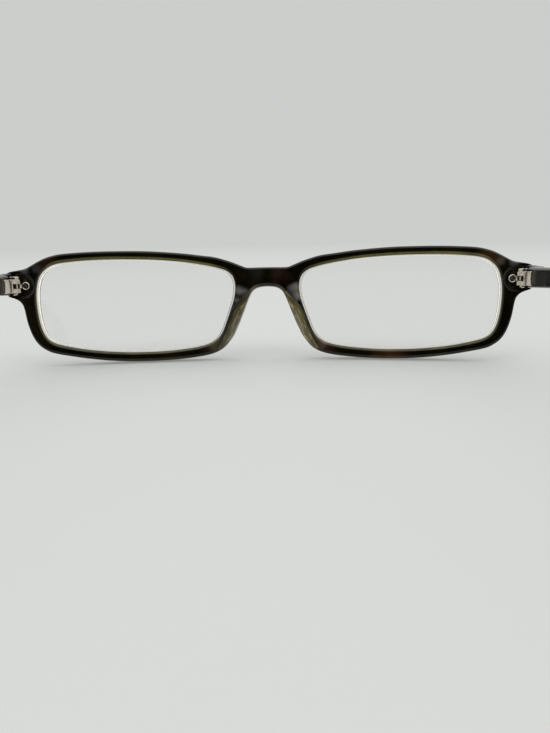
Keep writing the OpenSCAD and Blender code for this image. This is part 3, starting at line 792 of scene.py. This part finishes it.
# %% Cutting tools
LEAF_X = -0.1
BUTT = -3.2
HALF_KNUCKLE = 0.55
STACK_HALF = 1.7083
ROD_X = 0.9
AXIS = 0.001
bend = math.asin(64 / CURVE_R)
seat_normal = Vector((-math.sin(bend), math.cos(bend) * math.cos(LEAN), math.cos(bend) * math.sin(LEAN)))
noseward = Vector((0, 0, 1)).cross(seat_normal).normalized()


def facing_back(x0, y0):
    """A place function for pieces turned about the line that runs back from (x0, y0) at the hinge."""
    return lambda x, y, height: at_hinge(x0 + x, y0 + height, y)


def dish_place(x, y, height):
    over = seat_normal.cross(noseward)
    return at_hinge(LEAF_X + 0.1, -3.32, 0) + noseward * x + over * y + seat_normal * height


def pin(r, low, high):
    """The profile of a plain cylinder, to be turned."""
    return [(AXIS, low), (r, low), (r, high), (AXIS, high)]


disc_place = facing_back(LEAF_X, BUTT - 1.1)
eyelet_place = facing_back(-1, BUTT - 0.6)
rod_place = facing_back(ROD_X, 0)
recess = [(AXIS, -0.56), (2.3, -0.56), (2.48, -0.53), (2.57, -0.45), (2.6, -0.3), (2.6, 2.5), (AXIS, 2.5)]
flare = [0.15 * k for k in range(14)]
dish = [(AXIS, -0.25)] + [(2.3 + t, 0.25 * t ** 2 - 0.25) for t in flare] + [(4.4, 1.4), (AXIS, 1.4)]
butt = [(BUTT, 30), (BUTT, -2.6), (BUTT + 3.5, -12.6), (9, -12.6), (9, 30)]


def hinge_tools():
    """The six tools for the left seat, in the order of the cuts."""
    knuckle_gap = HALF_KNUCKLE + 0.03
    return [
        turned("dish tool", dish, dish_place, 96),
        turned("recess tool", recess, facing_back(LEAF_X, BUTT), 96),
        mesh_piece("butt tool", *skin([[at_hinge(x, y, z) for y, z in butt] for x in (-2.7, 9)], caps=True)),
        turned("disc tool", pin(1.69, 0.0, 0.27), disc_place, 96),
        block("lug tool", (0.12, 1.03), (-4.1, -3.0), (-knuckle_gap, knuckle_gap)),
        turned("shank tool", pin(0.5, -0.9, 1.0), eyelet_place, 48)]


# %% Cutting both seats
kept_points = KDTree(len(front.data.vertices))
for p in front.data.vertices:
    kept_points.insert(p.co, p.index)
kept_points.balance()
kept_tints = [tuple(t.color)[:3] for t in front.data.attributes["tint"].data]
for tool in hinge_tools():
    carved(front, tool)
for tool in hinge_tools():
    right_tool = other_side(tool)
    bpy.data.objects.remove(tool)
    carved(front, right_tool)
front.data.attributes.remove(front.data.attributes["tint"])
tints = []
for p in front.data.vertices:
    _, index, apart = kept_points.find(p.co)
    if apart < 0.02:
        tints.append(kept_tints[index])
        continue
    # Painted highlight: a soft grey stripe on the dished rim, stronger on the nose side.
    from_mid = Vector((abs(p.co.x), p.co.y, p.co.z)) - dish_place(0, 0, 0)
    out_by = (from_mid - seat_normal * from_mid.dot(seat_normal)).length
    dish_highlight = smooth_step(out_by, 2.8, 3.15) * (1 - smooth_step(out_by, 3.15, 3.6))
    dish_highlight *= 0.25 + 0.75 * smooth_step(from_mid.dot(noseward) / max(out_by, 0.1), -0.1, 0.8)
    tints.append((0.04 * dish_highlight, 0.042 * dish_highlight, 0.046 * dish_highlight))
painted(front.data, tints)
dress(front, front_acetate)
print("front:", len(front.data.polygons), "faces after milling")
finish_piece(front, "front", "front_frame", 28)

# %% [markdown]
# ## The lenses
# Each lens is clear plastic cut to the opening, with a tongue round its edge that sits in the
# rim's groove. It corrects short sight, so it is thicker towards the temples, and the back edge is
# ground to a slope there. Rings of points from the middle out to the edge make both faces, so the
# surfaces stay exactly round and do not ripple the view through them.

# %% Rings of the lens
LENS_MID = (30.8, 15.2)
RING_MID = (34.8, 15.0)
TONGUE_BACK = 1.44
EDGE_GAP = 0.04
FRONT_FACE = -2.65


def lens_back(u, v):
    return -1.28 + 0.00105 * ((u - LENS_MID[0]) ** 2 + (v - LENS_MID[1]) ** 2)


def drawn_in(loop, share):
    mid_u, mid_v = RING_MID
    return [(mid_u + (u - mid_u) * share, mid_v + (v - mid_v) * share) for u, v in loop]


def on_back(loop):
    return [(u, v, lens_back(u, v)) for u, v in loop]


def at_depth(loop, depth):
    return [(u, v, depth) for u, v in loop]


line_back = []
edge_back = []
edge_wall = []
for (u, v), n in zip(opening, into_rim):
    stands = lens_back(u, v) + TONGUE_BACK
    slope = 0.45 * stands + EDGE_GAP
    line = slope + 0.14 - 0.12 * smooth_step(abs(n.y), 0.6, 0.97)
    line_back.append((u - n.x * line, v - n.y * line))
    edge_back.append((u - n.x * slope, v - n.y * slope))
    edge_wall.append((u - n.x * EDGE_GAP, v - n.y * EDGE_GAP, 0.5 * stands - TONGUE_BACK))
shares = (0.004, 0.15, 0.3, 0.45, 0.6, 0.74, 0.86, 0.94)
tongue = ((-EDGE_GAP, -1.46), (-EDGE_GAP, -1.5), (0.52, -1.52), (0.55, -1.56), (0.55, -2.24), (0.52, -2.28),
          (-EDGE_GAP, -2.3), (-0.06, -2.56), (-0.2, FRONT_FACE))
lens_loops = [on_back(drawn_in(edge_back, s)) for s in shares] + [on_back(line_back), on_back(edge_back)]
facet_row = len(lens_loops) - 1
lens_loops.append(edge_wall)
lens_loops += [at_depth(moved(opening, m), depth) for m, depth in tongue]
lens_loops += [at_depth(drawn_in(moved(opening, -0.2), s), FRONT_FACE) for s in reversed(shares)]

# %% Lens
rows = [[in_front(u, d, v) for u, v, d in loop] for loop in lens_loops]
lens = mesh_piece("lens_clear_left", *skin(rows, caps=True))
dress(lens, lens_glass, lens_edge, lens_line)
for face in lens.data.polygons:
    row = face.index // len(opening)
    if facet_row <= row < facet_row + 10:
        face.material_index = 1
    if row == facet_row - 1:
        face.material_index = 2
print("lens facet from row", facet_row)
finish_pair(lens, "front", "lens_left", 25)

# %% [markdown]
# ## The nose pads
# On an acetate frame the pads are small wedges of clearer acetate glued to the back of the rims and
# filed into the frame. Each rises from the nose edge to a crest beside the lens. It is lofted: a
# row of slices, each a smooth hump from the nose edge over the crest, with more slices blended
# between the written ones. The nose edge is part of the outline of the front.

# %% Pad slices
pad_crest_places = [
    (5.35, 18.6), (6.65, 17.2), (7.9, 15.8), (8.95, 14.3), (9.75, 12.6), (10.4, 10.8),
    (11.05, 9.1), (11.75, 7.4), (12.55, 5.8), (13.3, 4.4), (13.9, 3.1)]
pad_shares = (0.06, 0.34, 0.58, 0.78, 0.92, 1, 0.98, 0.88, 0.7, 0.43, 0.08)
PAD_STAND = 4.4
straight_back = Vector((0, math.cos(LEAN), math.sin(LEAN)))
hump = [(0.0, -0.05), (0.0, 0.03), (0.012, 0.075), (0.035, 0.12), (0.08, 0.18), (0.16, 0.285), (0.26, 0.42),
        (0.38, 0.57), (0.5, 0.7), (0.62, 0.815), (0.73, 0.9), (0.8, 0.942)]
hump += [(0.92 - 0.074 * math.sin(math.radians(a)), 0.9465 + 0.0455 * math.cos(math.radians(a)))
         for a in range(47, -89, -15)]
hump += [(0.998, 0.8), (1.005, 0.6), (1.01, 0.35), (1.015, 0.12), (1.02, -0.05)]
nose_line = open_curve(foot_places[-4:-15:-1], 5)
crest_line = open_curve(pad_crest_places, 5)
share_line = open_curve([(share,) for share in pad_shares], 5)
pad_rows = []
for nose, crest, (share,) in zip(nose_line, crest_line, share_line):
    row = []
    for t, h in hump:
        u, v = [a + (b - a) * t for a, b in zip(nose, crest)]
        row.append(in_front(u, 0, v) + straight_back * (h * PAD_STAND * share if h > 0 else -0.25))
    pad_rows.append(row)
pad = mesh_piece("pad_left", *skin(pad_rows, caps=True))
dress(pad, pad_acetate)

# %% [markdown]
# The pad's colour runs across it: a smoke-grey painted highlight along the thin nose edge, the tan
# slope, and near black at the crest, where the dark front shows through from behind. The attribute
# keep says how much of the acetate's own clouding shows at each point, and lie holds how far across
# and along the pad the point is, so that the clouds become streaks that run with it.

# %% Pad tint
# Colour of the painted highlight along the pad's nose edge.
nose_edge_sheen = Vector((0.085, 0.08, 0.07))
sheen_across = [(0, 0.5), (0.012, 0.9), (0.035, 0.7), (0.08, 0.3), (0.16, 0.1), (0.26, 0)]
foot_tan = [(0, 0.1), (0.012, 0.2), (0.035, 0.45), (0.08, 0.8), (0.16, 1)]
tan_across_left = foot_tan + [
    (0.4, 1), (0.5, 0.9), (0.62, 0.65), (0.73, 0.3), (0.82, 0.1), (0.9, 0.04), (1, 0.02)]
tan_across_right = foot_tan + [(0.72, 1), (0.8, 0.85), (0.88, 0.5), (0.94, 0.15), (0.98, 0.04), (1, 0.02)]


def pad_colours(piece, tan_across, tan_along):
    """Fills the pad's three attributes, each made after the one before it is full."""
    n = len(hump)
    spots = [(hump[i % n][0], i // n) for i in range(len(piece.data.vertices))]
    tans = [read_off(tan_across, t) * read_off(tan_along, row)
            * (1 - 0.8 * smooth_step(t, 0.5, 0.75) * (1 - smooth_step(row, 8, 22))) for t, row in spots]
    lie = piece.data.attributes.new("lie", "FLOAT_VECTOR", "POINT")
    lie.data.foreach_set("vector", [
        c for t, row in spots for c in (t * 0.0042, row / len(pad_rows) * 0.0175, 0.0)])
    keep = piece.data.attributes.new("keep", "FLOAT", "POINT")
    keep.data.foreach_set("value", tans)
    fades = [0.6 + 0.4 * smooth_step(row, 3, 14) for _, row in spots]
    # The tint is that painted highlight, weaker at the pad's upper end.
    painted(piece.data, [nose_edge_sheen * read_off(sheen_across, t) * fade for (t, _), fade in zip(spots, fades)])


pad_right = other_side(pad)
pad_colours(pad, tan_across_left, [(3, 0.75), (14, 1.15), (28, 1.3), (44, 1.1)])
pad_colours(pad_right, tan_across_right, [(3, 1.35), (14, 1.7), (28, 1.9), (44, 1.4)])
finish_pair(pad, "front", "nose_pad_left", 40, pad_right)

# %% [markdown]
# ## The hinge's front half
# The front half is a pressed disc that sits in the recess, with the middle knuckle standing out of
# it. A small turned eyelet beside the knuckle holds it down. The knuckle, its lug and the stop that
# hooks round its nose side are flat shapes given a height with rounded edges, as they are pressed.

# %% Leaf
def paint_shade_on(piece, where):
    """Gives the faces whose middle answers to where(x, y, z), in the hinge's terms, the near-black metal of
    painted shade.
    """
    back = at_hinge(0, 1, 0) - HINGE
    up = at_hinge(0, 0, 1) - HINGE
    dress(piece, hinge_metal, painted_shade_metal)
    for face in piece.data.polygons:
        from_axis = face.center - HINGE
        face.material_index = int(where(from_axis.x, from_axis.dot(back), from_axis.dot(up)))


disc = [(AXIS, 0.02), (1.6, 0.02), (1.66, 0.06), (1.66, 0.2), (1.63, 0.23), (1.56, 0.25), (AXIS, 0.25)]
stop = [(-0.55, -1.3), (-1.5, -1.3), (-1.5, 0.25), (-1.14, 0.25), (-1.14, -0.7), (-0.55, -0.7)]
leaf = turned("hinge_leaf_left_visual", disc, disc_place, 96)
for part in (block("lug", (0.15, 1.0), (-4.0, 0.0), (-HALF_KNUCKLE, HALF_KNUCKLE), 0.08),
             plate("middle knuckle", arc(1.0, 0, 360, 6), -HALF_KNUCKLE, HALF_KNUCKLE, 0.1),
             plate("stop", stop, -HALF_KNUCKLE + 0.04, HALF_KNUCKLE - 0.04, 0.05)):
    carved(leaf, part, "UNION")
# Painted shade on the outer half of the middle knuckle, which faces into the window.
paint_shade_on(leaf, lambda x, y, z: abs(z) < 0.57 and math.hypot(x, y) < 1.05 and 0.89 * x + 0.45 * y > -0.33)
finish_pair(leaf, "front", "hinge_leaf_left")

# %% Eyelet
ring = [(0.42, -0.85), (0.42, -0.02), (0.5, 0.04), (0.68, 0.08), (0.76, 0.16), (0.82, 0.25), (0.89, 0.29),
        (0.97, 0.24), (1.03, 0.15), (1.05, 0.05), (0.49, 0.01), (0.49, -0.85)]
rows = [[eyelet_place(x, y, h) for x, y in circle(r, 48)] for r, h in ring]
eyelet = mesh_piece("eyelet_left", *skin(rows, closed_across=True))
# Painted shade inside the eyelet's ring.
dress(eyelet, screw_metal, painted_shade_metal)
for face in eyelet.data.polygons:
    face.material_index = int(face.index < 4 * 48)
finish_pair(eyelet, "front", "leaf_eyelet_left")

# %% [markdown]
# ## The fork and its screw
# The temple's half of the hinge is a fork: two knuckles with a window between them, on a root that
# slides in the housing. The arms are cut from the same flat outline, one above and one below. The
# screw is turned, with a slot across its head.

# %% Fork
ARM_LOW = 0.6
arm = [(-0.95, 2.9)] + arc(1.35, 138, 385, 6) + [(1.2, 2.9)]
rod = [(AXIS, 2.4), (0.45, 2.4), (0.45, 14.0), (0.36, 14.1), (AXIS, 14.1)]
fork = block("hinge_fork_left_visual", (-0.95, 1.5), (2.72, 3.3), (-STACK_HALF, STACK_HALF), 0.1)
for part in (plate("upper arm", arm, ARM_LOW, STACK_HALF, 0.1),
             plate("lower arm", arm, -STACK_HALF, -ARM_LOW, 0.1),
             turned("rod", rod, rod_place, 32)):
    carved(fork, part, "UNION")
# Painted shade on the faces in the window between the arms.
paint_shade_on(fork, lambda x, y, z: abs(z) < 0.62 and y < 2.8 and abs(x) < 1.45)
finish_pair(fork, "fork_left", "hinge_fork_left")

# %% Screw
head = STACK_HALF + 0.05
cap = [(1.08, 0), (1.15, 0.07), (1.15, 0.5), (1.13, 0.57), (1.06, 0.63), (0.88, 0.67), (0.5, 0.69),
       (AXIS, 0.7)]
shank = [(AXIS, -2.3), (0.42, -2.3), (0.6, -2.12), (0.6, head)]
screw = turned("screw_left", shank + [(r, head + h) for r, h in cap], at_hinge)
carved(screw, block("slot", (-0.15, 0.15), (-1.6, 1.6), (head + 0.36, head + 1.2), 0.03))
dress(screw, screw_metal)
finish_pair(screw, "fork_left", "hinge_screw_left")

# %% [markdown]
# ## The spring housing
# Behind the fork a metal block, set into the temple's inner face, holds the coil spring that the
# fork pulls on. Only its front part is bare. Further back a thin skin of acetate closes over it,
# and a round tail runs on inside. All of it is one piece on the real hinge.

# %% Housing
tail = [(AXIS, 8.2), (1.1, 8.2), (1.1, 16.9), (1.0, 17.0), (AXIS, 17.0)]
bore = [(AXIS, 3.2), (0.5, 3.2), (0.5, 4.7), (0.86, 4.7), (0.86, 17.6), (AXIS, 17.6)]
housing = block("spring_housing_left_visual", (-0.85, 2.05), (3.7, 6.4), (-STACK_HALF, STACK_HALF), 0.16)
carved(housing, block("sunk part", (-0.25, 2.05), (6.0, 9.0), (-STACK_HALF, STACK_HALF), 0.16), "UNION")
carved(housing, turned("tail", tail, rod_place, 40), "UNION")
carved(housing, turned("bore", bore, rod_place, 40))
dress(housing, hinge_metal)
finish_pair(housing, "temple_left", "spring_housing_left")

# %% [markdown]
# ## A tree that sweeps a section along stations
# A temple follows a rule: a rounded section carried along a line that runs straight, bends over
# the ear and runs straight again, while its width and height change. That is a sweep, so Geometry
# Nodes make it. The input is a chain of points, the stations, and each carries its half width, its
# half height and the two directions of its section. The same tree, with its corners fully round,
# makes the wire core inside the temple.

# %% Sweep tree
sweep, given, out = group("sweep along stations", [
    ("Geometry", "Geometry", None),
    ("Corner", "Float", 0.4),
    ("Corner steps", "Int", 6),
    ("Material", "Material", None)],
    [("Geometry", "Geometry")], "GeometryNodeTree")
chain = node(sweep, "GeometryNodeMeshToCurve", [("Mesh", given.outputs["Geometry"])])
spot = node(sweep, "GeometryNodeInputPosition")
square = node(sweep, "GeometryNodeCurvePrimitiveQuadrilateral", [("Width", 2.0), ("Height", 2.0)])
soft = node(sweep, "GeometryNodeFilletCurve", [
    ("Curve", square.outputs[0]), ("Count", given.outputs["Corner steps"]),
    ("Radius", given.outputs["Corner"]), ("Limit Radius", True)], mode="POLY")


def placed_as(name, curve):
    """The curve with the place of each point stored under a name, to be read after the sweep."""
    return node(sweep, "GeometryNodeStoreNamedAttribute", [
        ("Geometry", curve.outputs[0]), ("Name", name), ("Value", spot.outputs[0])],
        data_type="FLOAT_VECTOR", domain="POINT").outputs[0]


tube = node(sweep, "GeometryNodeCurveToMesh", [
    ("Curve", placed_as("spine", chain)), ("Profile Curve", placed_as("unit", soft)), ("Fill Caps", True)])


def carried(name, kind="FLOAT_VECTOR"):
    return node(sweep, "GeometryNodeInputNamedAttribute", [("Name", name)], data_type=kind).outputs[0]


parts = node(sweep, "ShaderNodeSeparateXYZ", [("Vector", carried("unit"))])
aside = maths(sweep, "MULTIPLY", parts.outputs["X"], carried("wide", "FLOAT"))
aloft = maths(sweep, "MULTIPLY", parts.outputs["Y"], carried("high", "FLOAT"))
aside = vectors(sweep, "SCALE", carried("side"), aside)
aloft = vectors(sweep, "SCALE", carried("up"), aloft)
there = vectors(sweep, "ADD", carried("spine"), vectors(sweep, "ADD", aside, aloft))
shaped = node(sweep, "GeometryNodeSetPosition", [("Geometry", tube.outputs[0]), ("Position", there)])


def end_tree(tree, geometry, given, out):
    """The end that both trees share: real points, in the material that was asked for."""
    real = node(tree, "GeometryNodeRealizeInstances", [("Geometry", geometry)])
    dressed = node(tree, "GeometryNodeSetMaterial", [
        ("Geometry", real.outputs[0]), ("Material", given.outputs["Material"])])
    tree.links.new(dressed.outputs[0], out.inputs["Geometry"])
    print(tree.name, len(tree.nodes), "nodes")


end_tree(sweep, shaped.outputs[0], given, out)


# %% Running a tree
SECTION = (("wide", "FLOAT"), ("high", "FLOAT"), ("side", "FLOAT_VECTOR"), ("up", "FLOAT_VECTOR"))


def grown(name, tree, mesh=None, **settings):
    """A plain mesh piece from a tree, its inputs set by their sockets' identifiers."""
    piece = in_scene(name, mesh or bpy.data.meshes.new(name))
    run = piece.modifiers.new("grow", "NODES")
    run.node_group = tree
    for socket in tree.interface.items_tree:
        label = socket.name.replace(" ", "_")
        if socket.in_out == "INPUT" and label in settings:
            run[socket.identifier] = settings[label]
    settled(piece)
    for label in ("unit", "spine", *dict(SECTION)):
        if label in piece.data.attributes:
            piece.data.attributes.remove(piece.data.attributes[label])
    cleaned(piece.data, merge=False)
    return piece


def swept(name, rows, corner, steps, finish):
    """Sweeps stations given in the hinge's terms: (x, y, z, half width, half height, way up)."""
    mesh = bpy.data.meshes.new(name)
    links = [(i, i + 1) for i in range(len(rows) - 1)]
    mesh.from_pydata([tuple(at_hinge(*row[:3])) for row in rows], links, [])
    ups = [at_hinge(0, *row[5]) - HINGE for row in rows]
    values = ([row[3] for row in rows], [row[4] for row in rows], [1.0, 0.0, 0.0] * len(rows),
              [c for up in ups for c in up])
    for (label, kind), data in zip(SECTION, values):
        layer = mesh.attributes.new(label, kind, "POINT")
        layer.data.foreach_set("value" if kind == "FLOAT" else "vector", data)
    return grown(name, sweep, mesh, Corner=corner, Corner_steps=steps, Material=finish)


# %% [markdown]
# ## The temples
# Seen from inside, a temple starts as thick as the endpiece, with a notch for the fork, and thins
# a little towards the ear. The stations follow the upper and lower edge of the real side view; the
# tip is closed by stations that shrink like a half ellipse.

# %% Side view of a temple
side_places = [
    (-3.18, 3.3, -2.3), (-1, 3.2, -2.35), (2, 2.95, -2.3), (5, 2.7, -2.2), (10, 2.5, -2.12),
    (18, 2.42, -2.05), (30, 2.35, -2), (45, 2.35, -2), (60, 2.4, -2.05), (72, 2.48, -2.15)]
ear_half_places = [2.35, 2.4, 2.46, 2.52, 2.6, 2.7, 2.8, 2.9, 2.98, 3.02, 3.0]
STRAIGHT = 77.0
EAR_BEND = math.radians(36)
EAR_R = 28.0
EAR_STRAIGHT = 40.162
EAR_TILT = math.radians(6)
TIP_R = 2.6
TEMPLE_IN = -0.6
THICK = 4.35


def ear_place(turn, on=0.0):
    """(y, z) on the middle line: turn into the bend, and on along the straight after it."""
    y = STRAIGHT + EAR_R * math.sin(turn)
    z = -EAR_R * (1 - math.cos(turn))
    return y + on * math.cos(turn), z - on * math.sin(turn)


tops = [(y, top) for y, top, low in side_places]
lows = [(y, low) for y, top, low in side_places]
for i, half in enumerate(ear_half_places):
    turn = EAR_BEND * min(i, 5) / 5
    y, z = ear_place(turn, EAR_STRAIGHT * max(0, i - 5) / 5)
    tops.append((y + half * math.sin(turn), z + half * math.cos(turn)))
    lows.append((y - half * math.sin(turn), z - half * math.cos(turn)))
tip_y = y + 3.0
tops = open_curve(tops, 6)
lows = open_curve(lows, 6)
bend_end = ear_place(EAR_BEND)[0]


def drop_at(y):
    """How far the middle line has dropped by y."""
    if y <= STRAIGHT:
        return 0.0
    if y <= bend_end:
        return EAR_R - math.sqrt(EAR_R ** 2 - (y - STRAIGHT) ** 2)
    return EAR_R * (1 - math.cos(EAR_BEND)) + (y - bend_end) * math.tan(EAR_BEND)


def thick_at(y):
    if y < 4:
        return THICK
    if y < 64:
        return THICK - 0.75 * math.sin(math.radians(90 * (y - 4) / 60))
    return 3.6 - 0.6 * min(1, (y - 64) / (tip_y - 64))


# %% Stations of a temple
NOTCH = 1.8
inner_cut = [(-3.18, NOTCH, 0.9), (-3.12, NOTCH, 0.96)]
inner_cut += [(y, NOTCH, 1) for y in (-3.0, -1.5, 0, 1.5, 2.6, 3.4)]
inner_cut += [(3.6, 1.78, 1), (3.66, 1.6, 1), (3.68, -0.3, 1), (3.72, -0.5, 1)]
plain = [3.85, 4.2, 5] + [6.0 + 0.35 * k for k in range(12)]
plain += [10.5, 11.5, 13, 16, 20, 25, 30, 36, 42, 48, 54, 60, 66, 71]
inner_cut += [(y, TEMPLE_IN, 1) for y in plain]
stations = []
for y, inner, size in inner_cut:
    top = read_off(tops, y)
    low = read_off(lows, y)
    outer = TEMPLE_IN + thick_at(y)
    wide = (outer - inner) / 2 * size
    stations.append(((inner + outer) / 2, y, (top + low) / 2, wide, (top - low) / 2 * size, (0, 1)))
for (ty, tz), (ly, lz) in zip(tops, lows):
    if ly > 71.5:
        y = (ty + ly) / 2
        half = math.hypot(ty - ly, tz - lz) / 2
        thick = thick_at(y)
        x = TEMPLE_IN - drop_at(y) * math.tan(EAR_TILT) + thick / 2
        stations.append((x, y, (tz + lz) / 2, thick / 2, half, ((ty - ly) / 2 / half, (tz - lz) / 2 / half)))
x, y, z, wide, high, way_up = stations[-1]
for a in (12, 24, 36, 47, 57, 66, 74, 80, 85, 88.5):
    on = TIP_R * math.sin(math.radians(a))
    small = math.cos(math.radians(a))
    stations.append((x - on * math.sin(EAR_BEND) * math.tan(EAR_TILT), y + on * math.cos(EAR_BEND),
                     z - on * math.sin(EAR_BEND), wide * small ** 0.75, high * small, way_up))
print("temple stations", len(stations))

# %% Temple
temple = swept("temple_left_visual", stations, 0.46, 6, temple_acetate)
pocket_half = STACK_HALF + 0.02
for tool in (block("pocket", (-2.6, 2.07), (3.5, 6.42), (-pocket_half, pocket_half)),
             block("sunk pocket", (-0.27, 2.07), (6.0, 9.02), (-pocket_half, pocket_half)),
             turned("tail hole", pin(1.12, 8.4, 17.02), rod_place, 40)):
    carved(temple, tool)
# Painted highlight: golden light inside the acetate just behind the housing, on the inner side.
tints = []
for p in temple.data.vertices:
    back = (p.co - HINGE).dot(at_hinge(0, 1, 0) - HINGE)
    glow = smooth_step(back, 6.2, 6.5) * (1 - smooth_step(back, 7.2, 9.4))
    glow *= 1 - smooth_step(p.co.x - HINGE.x, -0.58, 0.1)
    tints.append((0.05 * glow, 0.045 * glow, 0.032 * glow))
painted(temple.data, tints)
dress(temple, temple_acetate, temple_inside)
for face in temple.data.polygons:
    face.material_index = int(face.normal.x < -0.9)
finish_pair(temple, "temple_left", "temple_left")

# %% [markdown]
# The wire core is real on acetate temples: without it they would sag. It starts in the housing's
# tail and ends short of the tip, and it is hidden unless the acetate is clear.

# %% Wire core
CORE_R = 0.6
core_rows = [(ROD_X, y, 0.0, CORE_R, CORE_R, (0, 1)) for y in (15.6, 15.7, 16.5, 20, 30, 40, 50, 60, 70, 76)]
bends = [(EAR_BEND * k / 12, 0.0) for k in range(1, 13)]
for turn, on in bends + [(EAR_BEND, on) for on in (8, 16, 24, 32, 33.6)]:
    y, z = ear_place(turn, on)
    core_rows.append((ROD_X + z * math.sin(EAR_TILT), y, z, CORE_R, CORE_R, (math.sin(turn), math.cos(turn))))
core = swept("temple_core_left_visual", core_rows, 1.0, 5, core_wire)
dress(core, core_wire)
finish_pair(core, "temple_left", "temple_core_left")

# %% [markdown]
# ## The coil springs
# A coil is the textbook case for a curve: a spiral with a round wire swept along it. The tree
# makes it along its own axis, and the points are then put round the fork's rod.

# %% Coil tree
coil, given, out = group("coil spring", [
    ("Turns", "Float", 8.0),
    ("Coil radius", "Float", 0.66),
    ("Length", "Float", 6.66),
    ("Wire radius", "Float", 0.12),
    ("Material", "Material", None)],
    [("Geometry", "Geometry")], "GeometryNodeTree")
spiral = node(coil, "GeometryNodeCurveSpiral", [
    ("Resolution", 28), ("Rotations", given.outputs["Turns"]), ("Start Radius", given.outputs["Coil radius"]),
    ("End Radius", given.outputs["Coil radius"]), ("Height", given.outputs["Length"])])
wire = node(coil, "GeometryNodeCurvePrimitiveCircle", [
    ("Resolution", 10), ("Radius", given.outputs["Wire radius"])])
wound = node(coil, "GeometryNodeCurveToMesh", [
    ("Curve", spiral.outputs[0]), ("Profile Curve", wire.outputs[0]), ("Fill Caps", True)])
end_tree(coil, wound.outputs[0], given, out)

# %% Springs and collars
spring = grown("flex_spring_left_visual", coil, Turns=8.0, Coil_radius=0.66, Length=6.66, Wire_radius=0.12,
               Material=spring_steel)
for p in spring.data.vertices:
    p.co = at_hinge(ROD_X + p.co.x, 4.87 + p.co.z, p.co.y)
dress(spring, spring_steel)
finish_pair(spring, "temple_left", "flex_spring_left")
for name in ("spring_collar_left", "spring_collar_right"):
    dress(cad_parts[name], hinge_metal)

# %% [markdown]
# ## Floor and light
# The glasses stand on a plain pale table in soft daylight. The floor is diffuse near the object, so
# it keeps the contact shadows, and fades to the colour of the backdrop further out. The sky is
# bright above and round about, with one darker patch where the photographer stands. It is what
# makes the flat backs of the rims read as black while their upper edges shine.

# %% Floor
BACKDROP = (0.6, 0.615, 0.602, 1)
PATCH_WAY = tuple(Vector((-0.05, 1, 0.12)).normalized())
floor = mesh_piece("floor", [(-4, -4, 0), (4, -4, 0), (4, 4, 0), (-4, 4, 0)], [(0, 1, 2, 3)])
surface, tree, shader, place = material(
    "table top", (0.663, 0.675, 0.663), 0.55, 0.7, bump=0.0, Specular_IOR_Level=0.15)
distance = node(tree, "ShaderNodeVectorMath", [(0, place)], operation="LENGTH").outputs["Value"]
away = ramp(tree, distance, 0.15, 1.3, (0.38, 1.0))
glow = node(tree, "ShaderNodeEmission", [("Color", BACKDROP), ("Strength", 1.0)])
blend = node(tree, "ShaderNodeMixShader", [(0, away), (1, shader.outputs[0]), (2, glow.outputs[0])])
tree.links.new(blend.outputs[0], tree.nodes["Material Output"].inputs["Surface"])
dress(floor, surface)
floor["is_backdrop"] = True

# %% Sky
world = bpy.data.worlds.new("studio")
bpy.context.scene.world = world
world.use_nodes = True
sky = world.node_tree
sky.nodes.clear()
look = node(sky, "ShaderNodeTexCoord").outputs["Generated"]
axes = node(sky, "ShaderNodeSeparateXYZ", [("Vector", look)])
facing = node(sky, "ShaderNodeVectorMath", [(0, look), (1, PATCH_WAY)], operation="DOT_PRODUCT")
high = ramp(sky, axes.outputs["Z"], 0.0, 0.85, (0.5, 1.45))
bright = maths(sky, "MULTIPLY", high, ramp(sky, facing.outputs["Value"], 0.62, 0.86, (1.0, 0.03)))
soft_light = node(sky, "ShaderNodeBackground", [("Color", (1, 1, 0.985, 1)), ("Strength", bright)])
plain_sky = node(sky, "ShaderNodeBackground", [("Color", BACKDROP), ("Strength", 1.0)])
ray = node(sky, "ShaderNodeLightPath").outputs
through = maths(sky, "MAXIMUM", ray["Is Camera Ray"], ray["Is Transmission Ray"])
mixed = node(sky, "ShaderNodeMixShader", [
    (0, through), (1, soft_light.outputs[0]), (2, plain_sky.outputs[0])])
node(sky, "ShaderNodeOutputWorld", [("Surface", mixed.outputs[0])])
bpy.context.scene.view_settings.view_transform = "Standard"
print("light ready")

# %% Size of all the pieces, and the end
low, high_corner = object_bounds()
print("pieces:", len(made), "visual", [round(c, 4) for c in low], [round(c, 4) for c in high_corner])
